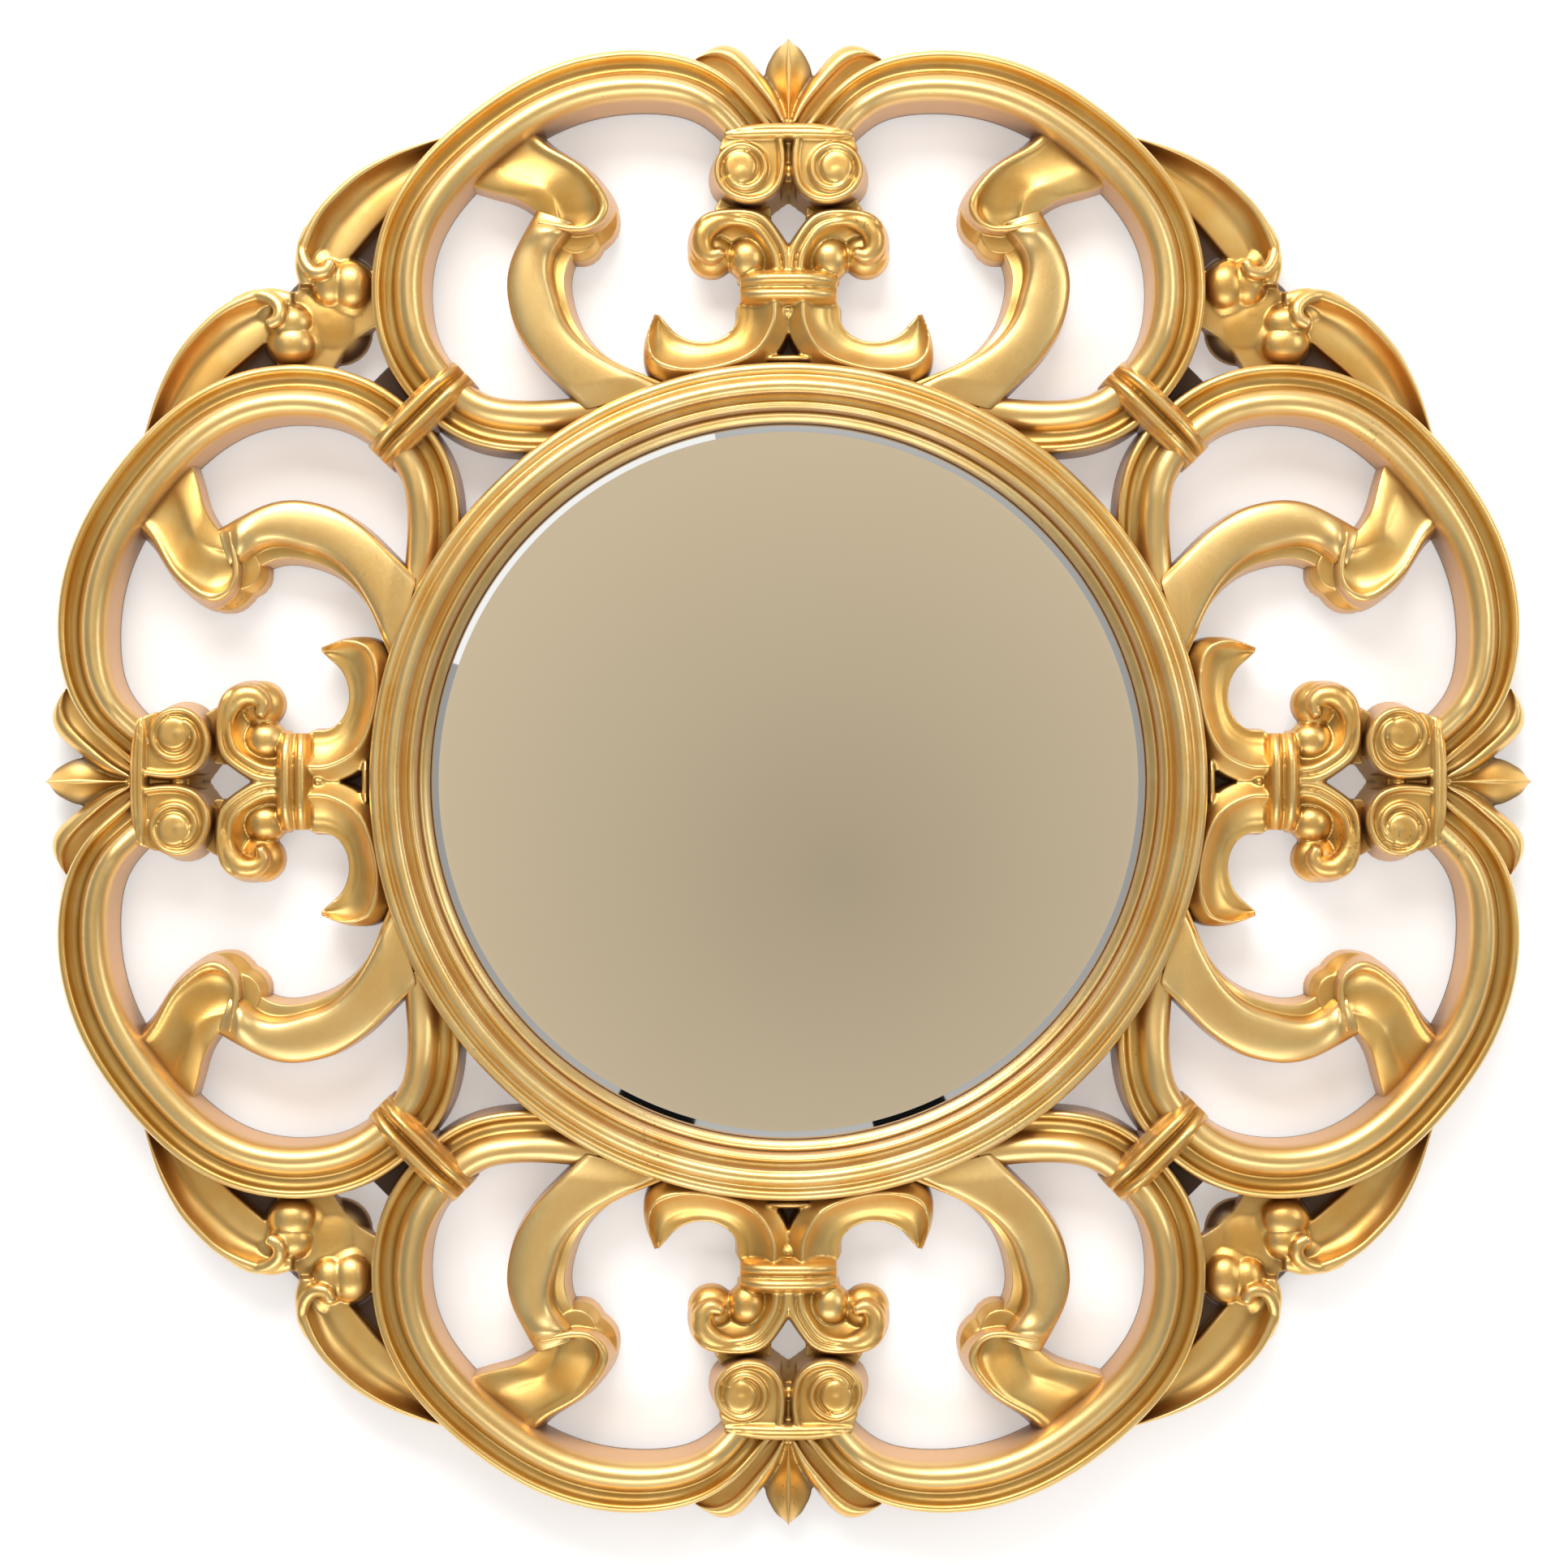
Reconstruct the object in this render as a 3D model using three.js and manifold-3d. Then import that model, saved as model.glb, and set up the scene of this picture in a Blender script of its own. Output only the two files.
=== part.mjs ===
// A round mirror in a pierced frame of gilded scrollwork, hung on a wall by two D-rings.
//
// Everything is drawn lying on its back: x to the right, y up the wall and z out of the wall, with
// z = 0 at the back of the frame. The last lines stand it up, front towards -Y and top towards +Z.
// Each carved piece is drawn once, in the eighth of the frame to the right of the top, and turned or
// mirrored into its other places. Millimetres and degrees.

import * as THREE from 'three';
import { mergeVertices } from 'three/addons/utils/BufferGeometryUtils.js';
import Module from 'manifold-3d';

const wasm = await Module();
wasm.setup();

// Clearance between neighbouring pieces.
const gap = 0.3;

// Ring: mouldings from the sight edge outwards, and the steps in its back.
const sightRadius = 220;
const coveWidth = 4.6;
const beadWidth = 6;
const quirkWidth = 3.9;
const torusWidth = 11;
const filletWidth = 5.9;
const ringDepth = 36.2;
const torusRise = 8.4;
const beadRise = 4;
const filletRise = 3.4;
const coveDrop = 10;
const flangeWidth = 15.4;

// Glass and board.
const glassCover = 5;
const glassThickness = 4;
const glassEdge = 2.2;
const glassRise = 12;
const bevelWidth = 12.7;
const boardThickness = 3;

// Large C-scrolls and the branches inside them.
const bandDepth = 34.5;
const bandLean = 2;
const tailShare = 0.9;
const hookDepth = 30;
const branchDepth = 31;

// Ornaments in the middle of each side.
const crestDepth = 21;
const crestHeight = 59;
const barHalfLength = 39;
const barThickness = 10;
const barOut = 139.6;
const barDepth = 32;
const voluteRadius = 17;
const voluteSpacing = 56;
const voluteOut = 114.6;
const voluteDepth = 30;
const fleuronDepth = 28;
const ballRadius = 12.5;
const strapHalfWidth = 30;
const strapDepth = 31;

// Ties and back scrolls on the diagonals.
const tieOut = 61;
const tieWidth = 23;
const tieHalfLength = 36.5;
const tieCover = 3.6;
const tieRibRise = 4.5;
const troughDepth = 22;
const knobRadius = 11;
const bridgeDepth = 18;

// Screws and hangers.
const shankRadius = 1.7;
const headRadius = 3.2;
const headHeight = 2;
const screwLength = 12;
const screwsInBoard = 4;
const hangerAngle = 60;
const strapPlateWidth = 13;
const strapPlateLength = 34;
const strapPlateThickness = 1.2;
const wireRadius = 1.6;
const ringBarLength = 19;
const ringReach = 20;

// Fineness of round forms.
const ringSides = 36;
const drumSides = 8;
const ballSides = 6;
const screwSides = 6;

// Derived sizes that several pieces share.
const ringRadius = sightRadius + coveWidth + beadWidth + quirkWidth + torusWidth + filletWidth;
const glassRadius = sightRadius + glassCover;
const rebateRadius = glassRadius + 2 * gap;
const landRadius = ringRadius - flangeWidth;
const landHeight = boardThickness + gap;

// Heights that a cutting solid reaches past the back and the front.
const below = -5;
const tall = 80;

// ---- Solids -------------------------------------------------------------------------------------

// Six times the volume inside a closed skin; below zero when its faces point inwards.
function signedVolume(positions, faces) {
  const corner = (index) => new THREE.Vector3().fromArray(positions, 3 * index);
  let sum = 0;
  for (let i = 0; i < faces.length; i += 3) {
    const [a, b, c] = faces.slice(i, i + 3).map(corner);
    sum += a.dot(b.cross(c));
  }
  return sum;
}

// A closed geometry as a solid that can be joined and cut.
function solid(geometry) {
  geometry.deleteAttribute('normal');
  geometry.deleteAttribute('uv');
  const merged = mergeVertices(geometry);
  const corners = merged.index.array;
  const faces = [];
  for (let i = 0; i < corners.length; i += 3) {
    const [a, b, c] = [corners[i], corners[i + 1], corners[i + 2]];
    if (a !== b && b !== c && c !== a) faces.push(a, b, c);
  }
  const vertProperties = Float32Array.from(merged.attributes.position.array);
  if (signedVolume(vertProperties, faces) < 0) faces.reverse();
  const mesh = new wasm.Mesh({ numProp: 3, vertProperties, triVerts: Uint32Array.from(faces) });
  return new wasm.Manifold(mesh);
}

function geometryOf(body) {
  const mesh = body.getMesh();
  const geometry = new THREE.BufferGeometry();
  const positions = new Float32Array(mesh.vertProperties);
  geometry.setAttribute('position', new THREE.BufferAttribute(positions, 3));
  geometry.setIndex(Array.from(mesh.triVerts));
  return geometry;
}

// A copy moved by a matrix. A matrix that mirrors also turns every face round.
function moved(geometry, matrix) {
  const copy = geometry.clone().applyMatrix4(matrix);
  if (matrix.determinant() < 0) copy.setIndex(Array.from(copy.index.array).reverse());
  return copy;
}

const mirror = new THREE.Matrix4().makeScale(-1, 1, 1);
const turn = (degrees) => new THREE.Matrix4().makeRotationZ(THREE.MathUtils.degToRad(degrees));
const shift = (x, y, z) => new THREE.Matrix4().makeTranslation(x, y, z);
const acrossDiagonal = turn(-90).multiply(mirror);
const copyOf = (body, matrix) => solid(moved(geometryOf(body), matrix));
const joined = (first, ...rest) => rest.reduce((body, next) => body.add(next), first);
const cut = (first, ...rest) => rest.reduce((body, next) => body.subtract(next), first);

// A closed skin over rows of points, each row a closed outline. Each end is closed round its hub;
// without hubs the last row runs on into the first.
function loft(rows, hubs = []) {
  const count = rows[0].length;
  const points = [...rows.flat(), ...hubs];
  const faces = [];
  const last = (rows.length - 1) * count;
  const spans = hubs.length > 0 ? rows.length - 1 : rows.length;
  for (let j = 0; j < count; j += 1) {
    const next = (j + 1) % count;
    for (let row = 0; row < spans; row += 1) {
      const start = row * count;
      const following = ((row + 1) % rows.length) * count;
      faces.push(start + j, following + j, start + next);
      faces.push(start + next, following + j, following + next);
    }
    if (hubs.length > 0) {
      faces.push(j, next, points.length - 2);
      faces.push(last + next, last + j, points.length - 1);
    }
  }
  const geometry = new THREE.BufferGeometry().setFromPoints(points);
  geometry.setIndex(faces);
  return geometry;
}

// A solid turned about the z axis from a profile of [radius, height].
function turned(profile, sides) {
  const points = profile.map(([radius, height]) => new THREE.Vector2(radius, height));
  const geometry = new THREE.LatheGeometry(points, sides);
  return solid(geometry.rotateX(Math.PI / 2));
}

// A plain prism on a plan outline, from one height to another.
function prism(outline, low, high) {
  const shape = new THREE.Shape(outline.map((point) => new THREE.Vector2(point.x, point.y)));
  const geometry = new THREE.ExtrudeGeometry(shape, { depth: high - low, bevelEnabled: false });
  return solid(geometry.translate(0, 0, low));
}

// ---- Carved bands -------------------------------------------------------------------------------

// A plan point given by its angle from the middle of its side and its distance out from the ring.
function polar([degrees, out]) {
  const angle = THREE.MathUtils.degToRad(degrees);
  const radius = ringRadius + out;
  return new THREE.Vector3(radius * Math.sin(angle), radius * Math.cos(angle), 0);
}

// A plan point given by its distances from the middle line and out from the top of the ring.
const upright = ([x, out]) => new THREE.Vector3(x, ringRadius + out, 0);

// Stations between two edges: each is a pair of points, one on each edge.
function between(edgeA, edgeB, steps) {
  const first = new THREE.CatmullRomCurve3(edgeA).getPoints(steps);
  const second = new THREE.CatmullRomCurve3(edgeB).getPoints(steps);
  return first.map((point, i) => [point, second[i]]);
}

// Stations across a centre line. The z of each of its points holds the width of the band there.
function along(centre, steps) {
  const curve = new THREE.CatmullRomCurve3(centre);
  return curve.getPoints(steps).map((point, i) => {
    const tangent = curve.getTangent(i / steps);
    const side = new THREE.Vector3(-tangent.y, tangent.x, 0).setLength(point.z / 2);
    const middle = point.clone().setZ(0);
    return [middle.clone().add(side), middle.clone().sub(side)];
  });
}

// A band through its stations. The face lists [share of the way across, share of the depth]; its
// walls lean out by the given amounts on their way to the back; rise scales the depth along it.
function band(stations, face, depth, lean, rise = () => 1, foot = 0) {
  const heels = [];
  const rows = stations.map(([a, b], i) => {
    const scale = depth * rise(i / (stations.length - 1));
    const across = b.clone().sub(a);
    const side = across.clone().normalize();
    const front = face.map(([share, height]) => (
      a.clone().addScaledVector(across, share).setZ(height * scale)
    ));
    heels.push(a.clone().add(b).divideScalar(2).setZ(scale / 3));
    return [
      ...front,
      b.clone().addScaledVector(side, lean[1]).setZ(foot),
      a.clone().addScaledVector(side, -lean[0]).setZ(foot),
    ];
  });
  return solid(loft(rows, [heels[0], heels.at(-1)]));
}

// The space to leave for a band: its own walls carried on past the front and the back, moved out by
// the gap on all sides.
function room(stations, face, depth, lean) {
  const spread = (z, slope, edge) => gap + slope * (1 - z / (edge * depth));
  const [edgeA, edgeB] = [face[0][1], face.at(-1)[1]];
  const ends = stations.map(([a, b]) => [a.clone(), b.clone()]);
  for (const [end, before] of [[0, 1], [ends.length - 1, ends.length - 2]]) {
    for (const edge of [0, 1]) {
      const step = stations[end][edge].clone().sub(stations[before][edge]).setLength(gap);
      ends[end][edge].add(step);
    }
  }
  const rows = ends.map(([a, b]) => {
    const side = b.clone().sub(a).normalize();
    const at = (point, sign, slope, edge, z) => point.clone()
      .addScaledVector(side, sign * spread(z, slope, edge)).setZ(z);
    return [
      at(a, -1, lean[0], edgeA, tall), at(b, 1, lean[1], edgeB, tall),
      at(b, 1, lean[1], edgeB, below), at(a, -1, lean[0], edgeA, below),
    ];
  });
  const hub = (row) => row.reduce((sum, point) => sum.add(point), new THREE.Vector3()).divideScalar(4);
  return solid(loft(rows, [hub(rows[0]), hub(rows.at(-1))]));
}

// The space to leave for an upright round form that leans out from its top radius.
function roundRoom(radius, depth, lean) {
  const reach = (z) => radius + gap + lean * (1 - z / depth);
  return turned([[0, below], [reach(below), below], [reach(tall), tall], [0, tall]], drumSides);
}

// ---- Ring, glass and board ----------------------------------------------------------------------

// Points of a round moulding, from its inner foot to its outer foot.
function round(start, width, low, rise, steps) {
  const points = [];
  for (let i = 0; i <= steps; i += 1) {
    const angle = (Math.PI * i) / steps;
    points.push([start + (width * (1 - Math.cos(angle))) / 2, low + rise * Math.sin(angle)]);
  }
  return points;
}

// How far the dome of the glass stands above its rim at a radius.
function dome(radius) {
  const bend = (glassRadius ** 2 + glassRise ** 2) / (2 * glassRise);
  return Math.sqrt(bend ** 2 - radius ** 2) - Math.sqrt(bend ** 2 - glassRadius ** 2);
}

const glassBack = (radius) => landHeight + dome(radius);
const fieldRadius = glassRadius - bevelWidth;
const bevelSlope = (glassBack(fieldRadius) + glassThickness - landHeight - glassEdge) / bevelWidth;
const seatHeight = landHeight + glassEdge + bevelSlope * glassCover + gap;

function frameRing() {
  const floor = ringDepth - torusRise;
  const beadStart = sightRadius + coveWidth;
  const torusStart = beadStart + beadWidth + quirkWidth;
  const filletStart = torusStart + torusWidth;
  const profile = [
    [sightRadius, seatHeight],
    [sightRadius, floor - coveDrop],
    [sightRadius + coveWidth * 0.4, floor - coveDrop * 0.3],
    ...round(beadStart, beadWidth, floor, beadRise, 2),
    ...round(torusStart, torusWidth, floor, torusRise, 4),
    ...round(filletStart, filletWidth, floor, filletRise, 2).slice(1),
    [ringRadius, 0],
    [landRadius, 0],
    [landRadius, landHeight],
    [rebateRadius, landHeight],
    [rebateRadius, seatHeight],
    [sightRadius, seatHeight],
  ];
  return turned(profile, ringSides);
}

function mirrorGlass() {
  const shares = [0, 0.6, 1];
  const back = shares.map((share) => [share * fieldRadius, glassBack(share * fieldRadius)]);
  const front = back.map(([radius, height]) => [radius, height + glassThickness]).reverse();
  const edge = [[glassRadius, landHeight], [glassRadius, landHeight + glassEdge]];
  return turned([...back, ...edge, ...front], ringSides);
}

const backingBoard = () => turned(
  [[0, 0], [landRadius - gap, 0], [landRadius - gap, boardThickness], [0, boardThickness]], ringSides);

// ---- Large C-scroll and its branches ------------------------------------------------------------

// Centre line from under the top bar, round the lobe, under the tie and back to the ring:
// angle, distance out from the ring, width.
const scrollLine = [
  [2.9, 136.5, 25], [5, 157, 25.5], [7.1, 169.8, 27.5], [9.4, 177.3, 29.5], [12.2, 183, 31],
  [15.5, 187, 31], [19.1, 186.6, 31], [22.3, 183.1, 31], [25.7, 177.1, 31.5], [29.1, 170.7, 31.5],
  [32.2, 162, 31.5], [34.9, 150.8, 31.5], [37.3, 136, 31.5], [39.2, 120.3, 32], [40.7, 104.6, 31.5],
  [41.8, 86.8, 31], [42, 63.7, 31], [41.6, 43.6, 31], [39.7, 27.3, 31], [36.6, 13.8, 31.5],
  [32, 1.5, 32], [27.8, -6, 32],
].map(([degrees, out, width]) => polar([degrees, out]).setZ(width));

// Across it from the outside: bead, hollow and the broad round that falls to the inner edge.
const scrollFace = [
  [0, 0.7], [0.13, 0.77], [0.34, 0.62], [0.62, 1], [1, 0.8],
];
const scrollLean = [bandLean, bandLean];
const scrollDip = (t) => 1 - (1 - tailShare) * THREE.MathUtils.smoothstep(t, 0.66, 0.76);
const scrollStations = along(scrollLine, 14);

const hookEdges = [
  [[21.6, 172.4], [20.2, 153.6], [18.8, 137.3], [17.9, 120], [17.9, 106.9], [18.9, 100.6], [20.8, 100.5]],
  [[29, 164.9], [26.7, 144.4], [24.6, 132.5], [23.8, 123.4], [23.7, 118.7], [23.9, 117.1], [24.1, 115.6]],
];
const hookFace = [[0, 0.78], [0.1, 1], [0.4, 0.72], [0.75, 0.86], [1, 0.72]];
const hookLean = [5, 1.5];
const hookStations = between(hookEdges[0].map(polar), hookEdges[1].map(polar), 4);

const branchEdges = [
  [
    [18.2, 100.2], [20.5, 96.7], [22.6, 90.9], [24.1, 80.5], [24.8, 65.8], [25, 51], [24.2, 34.8],
    [22.4, 21.2], [20.1, 10.5], [16.4, -3.3],
  ],
  [
    [23.9, 123.8], [25.7, 114.9], [27.6, 106.4], [29.2, 95.5], [30.3, 82.3], [31, 67.1], [31, 51.4],
    [30.6, 37.8], [29.9, 25.4], [28.6, 3.7],
  ],
];
const branchFace = [[0, 0.74], [0.1, 0.9], [0.28, 0.8], [0.62, 1], [1, 0.72]];
const branchLean = [3.5, 1.5];
const branchStations = between(branchEdges[0].map(polar), branchEdges[1].map(polar), 6);

// ---- Ornaments in the middle of a side ----------------------------------------------------------

const rimFace = [[0, 0.66], [0.2, 0.95], [0.6, 0.84], [1, 0.6]];
const bladeFace = [[0, 0.42], [0.25, 0.5], [0.5, 0.86], [0.75, 0.5], [1, 0.42]];

// One side leaf of the crest, measured up from the bar: outer edge, then the edge that runs along
// the C-scroll.
const crestLeafEdges = [
  [[1, 7], [5, 20], [13, 31], [22, 41], [32, 49.5], [43, 52.5], [57, 45]],
  [[7, 3], [17, 10], [28, 20], [38, 28], [46, 34], [53, 39], [61, 43]],
];

// Half width of the centre leaf against its distance up from foot to tip.
const bladeHalfWidths = [3, 7, 14, 9.5, 0.6];
const bladeShares = [0, 0.25, 0.6, 0.84, 1];

function crest(scrollRooms, capSpace) {
  const [outer, inner] = crestLeafEdges.map((edge) => edge.map(([x, up]) => upright([x, barOut + up])));
  const sideLeaf = band(between(outer, inner, 4), rimFace, crestDepth, [1, 1], (t) => 1 - 0.2 * t);
  const footOut = barOut + barThickness / 2;
  const blade = bladeShares.map((share, i) => {
    const out = THREE.MathUtils.lerp(footOut, barOut + crestHeight, share);
    return [upright([-bladeHalfWidths[i], out]), upright([bladeHalfWidths[i], out])];
  });
  const centreLeaf = band(blade, bladeFace, crestDepth, [0.4, 0.4]);
  const leaves = joined(centreLeaf, sideLeaf, copyOf(sideLeaf, mirror));
  return cut(leaves, ...scrollRooms, capSpace);
}

// The bar bows up in its middle and narrows into round ends.
const barShares = [-1, -0.94, -0.4, 0.4, 0.94, 1];
const barStations = barShares.map((share) => {
  const bow = 1.6 * (1 - share ** 2);
  const half = (barThickness / 2) * Math.sqrt(1 - 0.7 * share ** 8);
  const x = share * barHalfLength;
  return [upright([x, barOut + bow + half]), upright([x, barOut + bow - half])];
});
const barFace = [[0, 0.75], [0.25, 0.96], [0.5, 1], [0.75, 0.96], [1, 0.75]];
const voluteLean = 4;
const webDepth = voluteDepth - 7;
const notchHeight = -5.6;
const notchSlope = 0.4;
const voluteCentre = upright([voluteSpacing / 2, voluteOut]);

// The web that carries the volutes, from one height to another, grown downwards by a clearance. The
// notch between them slopes towards the ring on its way to the back.
function web(low, high, grow) {
  const half = voluteSpacing / 2;
  const top = barOut - voluteOut;
  const row = (height) => {
    const drop = grow + notchSlope * (webDepth - height);
    const right = [
      [half + 7, top], [half + 13, 14], [half - 3, 5], [half - 3, -14 - drop], [half - 13, -15 - drop],
    ];
    const left = right.map(([x, y]) => [-x, y]).reverse();
    const outline = [...right, [0, notchHeight - drop], ...left];
    return outline.map(([x, y]) => upright([x, voluteOut + y]).setZ(height));
  };
  const hub = (height) => upright([0, voluteOut + 8]).setZ(height);
  return solid(loft([row(low), row(high)], [hub(low), hub(high)]));
}

function voluteCap() {
  const eye = voluteRadius * 0.36;
  const drum = turned([
    [0, voluteDepth], [eye, voluteDepth], [voluteRadius - 7, voluteDepth - 5],
    [voluteRadius - 2.5, voluteDepth], [voluteRadius + voluteLean, 0], [0, 0],
  ], drumSides);
  const right = copyOf(drum, shift(voluteCentre.x, voluteCentre.y, 0));
  const bar = band(barStations, barFace, barDepth, [0.5, 0.5]);
  return joined(bar, web(0, webDepth, 0), right, copyOf(right, mirror));
}

function capRoom() {
  const drum = roundRoom(voluteRadius, voluteDepth, voluteLean);
  const right = copyOf(drum, shift(voluteCentre.x, voluteCentre.y, 0));
  const bar = room(barStations, barFace, barDepth, [0.5, 0.5]);
  return joined(bar, web(below, tall, gap), right, copyOf(right, mirror));
}

// Curled leaf below the volute: outer edge, then the hub it curls round.
const curlEdges = [
  [
    [-2, 50.6], [-1.5, 67.6], [4, 77.6], [12, 88.6], [21, 93.1], [36, 93.6], [50, 91.1], [59, 83.6],
    [62.5, 73.6], [61, 63.1], [53, 55.6],
  ],
  [
    [31, 50.6], [31, 53.6], [31, 56.6], [32, 59.6], [34, 61.6], [36, 63.6], [39, 64.6], [42, 63.6],
    [44, 61.6], [44, 57.6], [43, 53.6],
  ],
];
const curlFace = [[0, 0.8], [0.12, 1], [0.32, 0.9], [1, 0.55]];

// Upturned leaf at the foot: edge on the open side, then the edge that beds on the ring.
const anchorEdges = [
  [[31, 35.6], [31.5, 25.6], [38, 18.1], [49, 14.1], [61, 15.6], [69, 20.1], [74, 25.6], [78, 30.1]],
  [[-2, 35.6], [-1.5, 25], [9.5, 3], [34, -8.4], [62, -13.4], [84, -6.4], [87.5, 11.6], [81, 30.1]],
];
const anchorFace = [[0, 0.66], [0.35, 0.7], [0.68, 1], [1, 0.66]];
const strapFrom = 20.6;
const strapTo = 53;

// The ribbed strap between the leaves, as a section of [distance out, height].
function strap() {
  const low = strapDepth - 6;
  const section = [
    [strapFrom, 0], [strapFrom, low - 3], [strapFrom + 13, low], [strapFrom + 16, strapDepth],
    [strapFrom + 20, strapDepth], [strapFrom + 23, low], [strapFrom + 26, strapDepth],
    [strapTo - 2, strapDepth], [strapTo, low - 3], [strapTo, 0],
  ];
  const row = (x) => section.map(([out, height]) => upright([x, out]).setZ(height));
  const hub = (x) => upright([x, (strapFrom + strapTo) / 2]).setZ(low / 2);
  const ends = [-strapHalfWidth, strapHalfWidth];
  return solid(loft(ends.map(row), ends.map(hub)));
}

// A ball standing on the back plane.
function ballAt(point, radius, height) {
  const profile = round(-radius, 2 * radius, 0, radius, 3).map(([h, r]) => [r, h + height]);
  profile[0][0] = 0;
  profile.at(-1)[0] = 0;
  return copyOf(turned(profile, ballSides), shift(point.x, point.y, 0));
}

function fleuron(capSpace, ringSpace, branchRooms) {
  const [outer, hub] = curlEdges.map((edge) => edge.map(upright));
  const curl = band(between(outer, hub, 6), curlFace, fleuronDepth, [2.5, 0]);
  const [open, bed] = anchorEdges.map((edge) => edge.map(upright));
  const droop = (t) => 1 - 0.15 * t;
  const anchorLeaf = band(between(open, bed, 5), anchorFace, fleuronDepth, [1.5, 1.5], droop);
  const ball = ballAt(upright([51, 65.6]), ballRadius, fleuronDepth - 13);
  const half = joined(curl, anchorLeaf, ball);
  return cut(joined(half, copyOf(half, mirror), strap()), capSpace, ringSpace, ...branchRooms);
}

// ---- Ornaments on a diagonal --------------------------------------------------------------------

// The tie as it would lie at the top of the ring; it is turned on to the diagonal afterwards.
const tieShares = [-1, -0.92, -0.5, 0.5, 0.92, 1];
const tieFace = [[0, 0.84], [0.25, 1], [0.45, 0.9], [0.55, 0.9], [0.75, 1], [1, 0.84]];

function diagonalTie(grownScrolls) {
  const depth = bandDepth * tailShare + tieCover + tieRibRise;
  const stations = tieShares.map((share) => {
    const x = share * tieHalfLength;
    return [upright([x, tieOut + tieWidth / 2]), upright([x, tieOut - tieWidth / 2])];
  });
  const arch = (t) => 1 - 0.32 * Math.abs(2 * t - 1) ** 6;
  const block = band(stations, tieFace, depth, [1, 1], arch);
  return cut(copyOf(block, turn(-45)), ...grownScrolls);
}

// Trough behind a lobe: its outer edge, then the edge that faces the C-scroll.
const troughEdges = [
  [
    [27.6, 188.7], [30, 193], [31.8, 196.3], [33.8, 198.5], [35.5, 199.5], [37.4, 198.4], [39.2, 196.4],
    [41, 192.3], [42.5, 186.7], [43.8, 179.3], [44.5, 169.3],
  ],
  [
    [27.2, 173.5], [29.6, 174], [31.9, 172.6], [34, 172.1], [35.8, 171.3], [37.5, 169.4], [39.1, 167.3],
    [40.3, 165.8], [41.3, 163.8], [42.1, 162.1], [42.7, 159.8],
  ],
];
const troughFace = [[0, 0.8], [0.12, 1], [0.45, 0.6], [1, 0.86]];
const bridgeHalf = [[45, 171], [43.5, 180], [40.4, 163], [38, 147], [40.7, 121], [42.6, 127], [45, 134]];

function backScroll(scrollRooms) {
  const [outer, inner] = troughEdges.map((edge) => edge.map(polar));
  const trough = band(between(outer, inner, 4), troughFace, troughDepth, [2, 1.5]);
  const knob = ballAt(polar([42, 155]), knobRadius, troughDepth - 8);
  const half = joined(trough, knob);
  const outline = bridgeHalf.map(polar);
  const swapped = outline.slice(1, -1).map((point) => new THREE.Vector3(point.y, point.x, 0)).reverse();
  const bridge = prism([...outline, ...swapped], 0, bridgeDepth);
  return cut(joined(bridge, half, copyOf(half, acrossDiagonal)), ...scrollRooms);
}

// ---- Screws and hangers -------------------------------------------------------------------------

function screw() {
  return turned([
    [0, -headHeight], [headRadius * 0.8, -headHeight], [headRadius, -gap], [shankRadius, -gap],
    [shankRadius, screwLength - 3], [0, screwLength],
  ], screwSides);
}

const pilotHole = () => turned([
  [0, below], [shankRadius + gap, below], [shankRadius + gap, screwLength + gap],
  [0, screwLength + gap],
], screwSides);

// A hanger lies on the back of the ring: its pin axis is x, its ring points along y.
const loopInside = wireRadius + gap;
const loopOutside = loopInside + strapPlateThickness;
const pinHeight = -gap - loopOutside;
const plateScrews = [-9, -strapPlateLength + 7];

const plate = (shape, depth) => (
  new THREE.ExtrudeGeometry(shape, { depth, bevelEnabled: false, curveSegments: 4 })
);

function hangerPlate() {
  const half = strapPlateWidth / 2;
  const strip = new THREE.Shape();
  strip.moveTo(half, 0);
  strip.lineTo(-half, 0);
  strip.lineTo(-half, -strapPlateLength + half);
  strip.absarc(0, -strapPlateLength + half, half, Math.PI, 2 * Math.PI, false);
  for (const y of plateScrews) {
    strip.holes.push(new THREE.Path().absarc(0, y, shankRadius + gap, 0, 2 * Math.PI, true));
  }
  const flat = plate(strip, strapPlateThickness);
  const eye = new THREE.Shape().absarc(0, 0, loopOutside, 0, 2 * Math.PI, false);
  eye.holes.push(new THREE.Path().absarc(0, 0, loopInside, 0, 2 * Math.PI, true));
  const loop = plate(eye, strapPlateWidth).rotateY(Math.PI / 2).translate(-half, 0, pinHeight);
  const bore = new THREE.Shape().absarc(0, 0, loopInside, 0, 2 * Math.PI, false);
  const clear = plate(bore, strapPlateWidth + 2).rotateY(Math.PI / 2).translate(-half - 1, 0, pinHeight);
  flat.translate(0, 0, -gap - strapPlateThickness);
  return cut(joined(solid(flat), solid(loop)), solid(clear));
}

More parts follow.
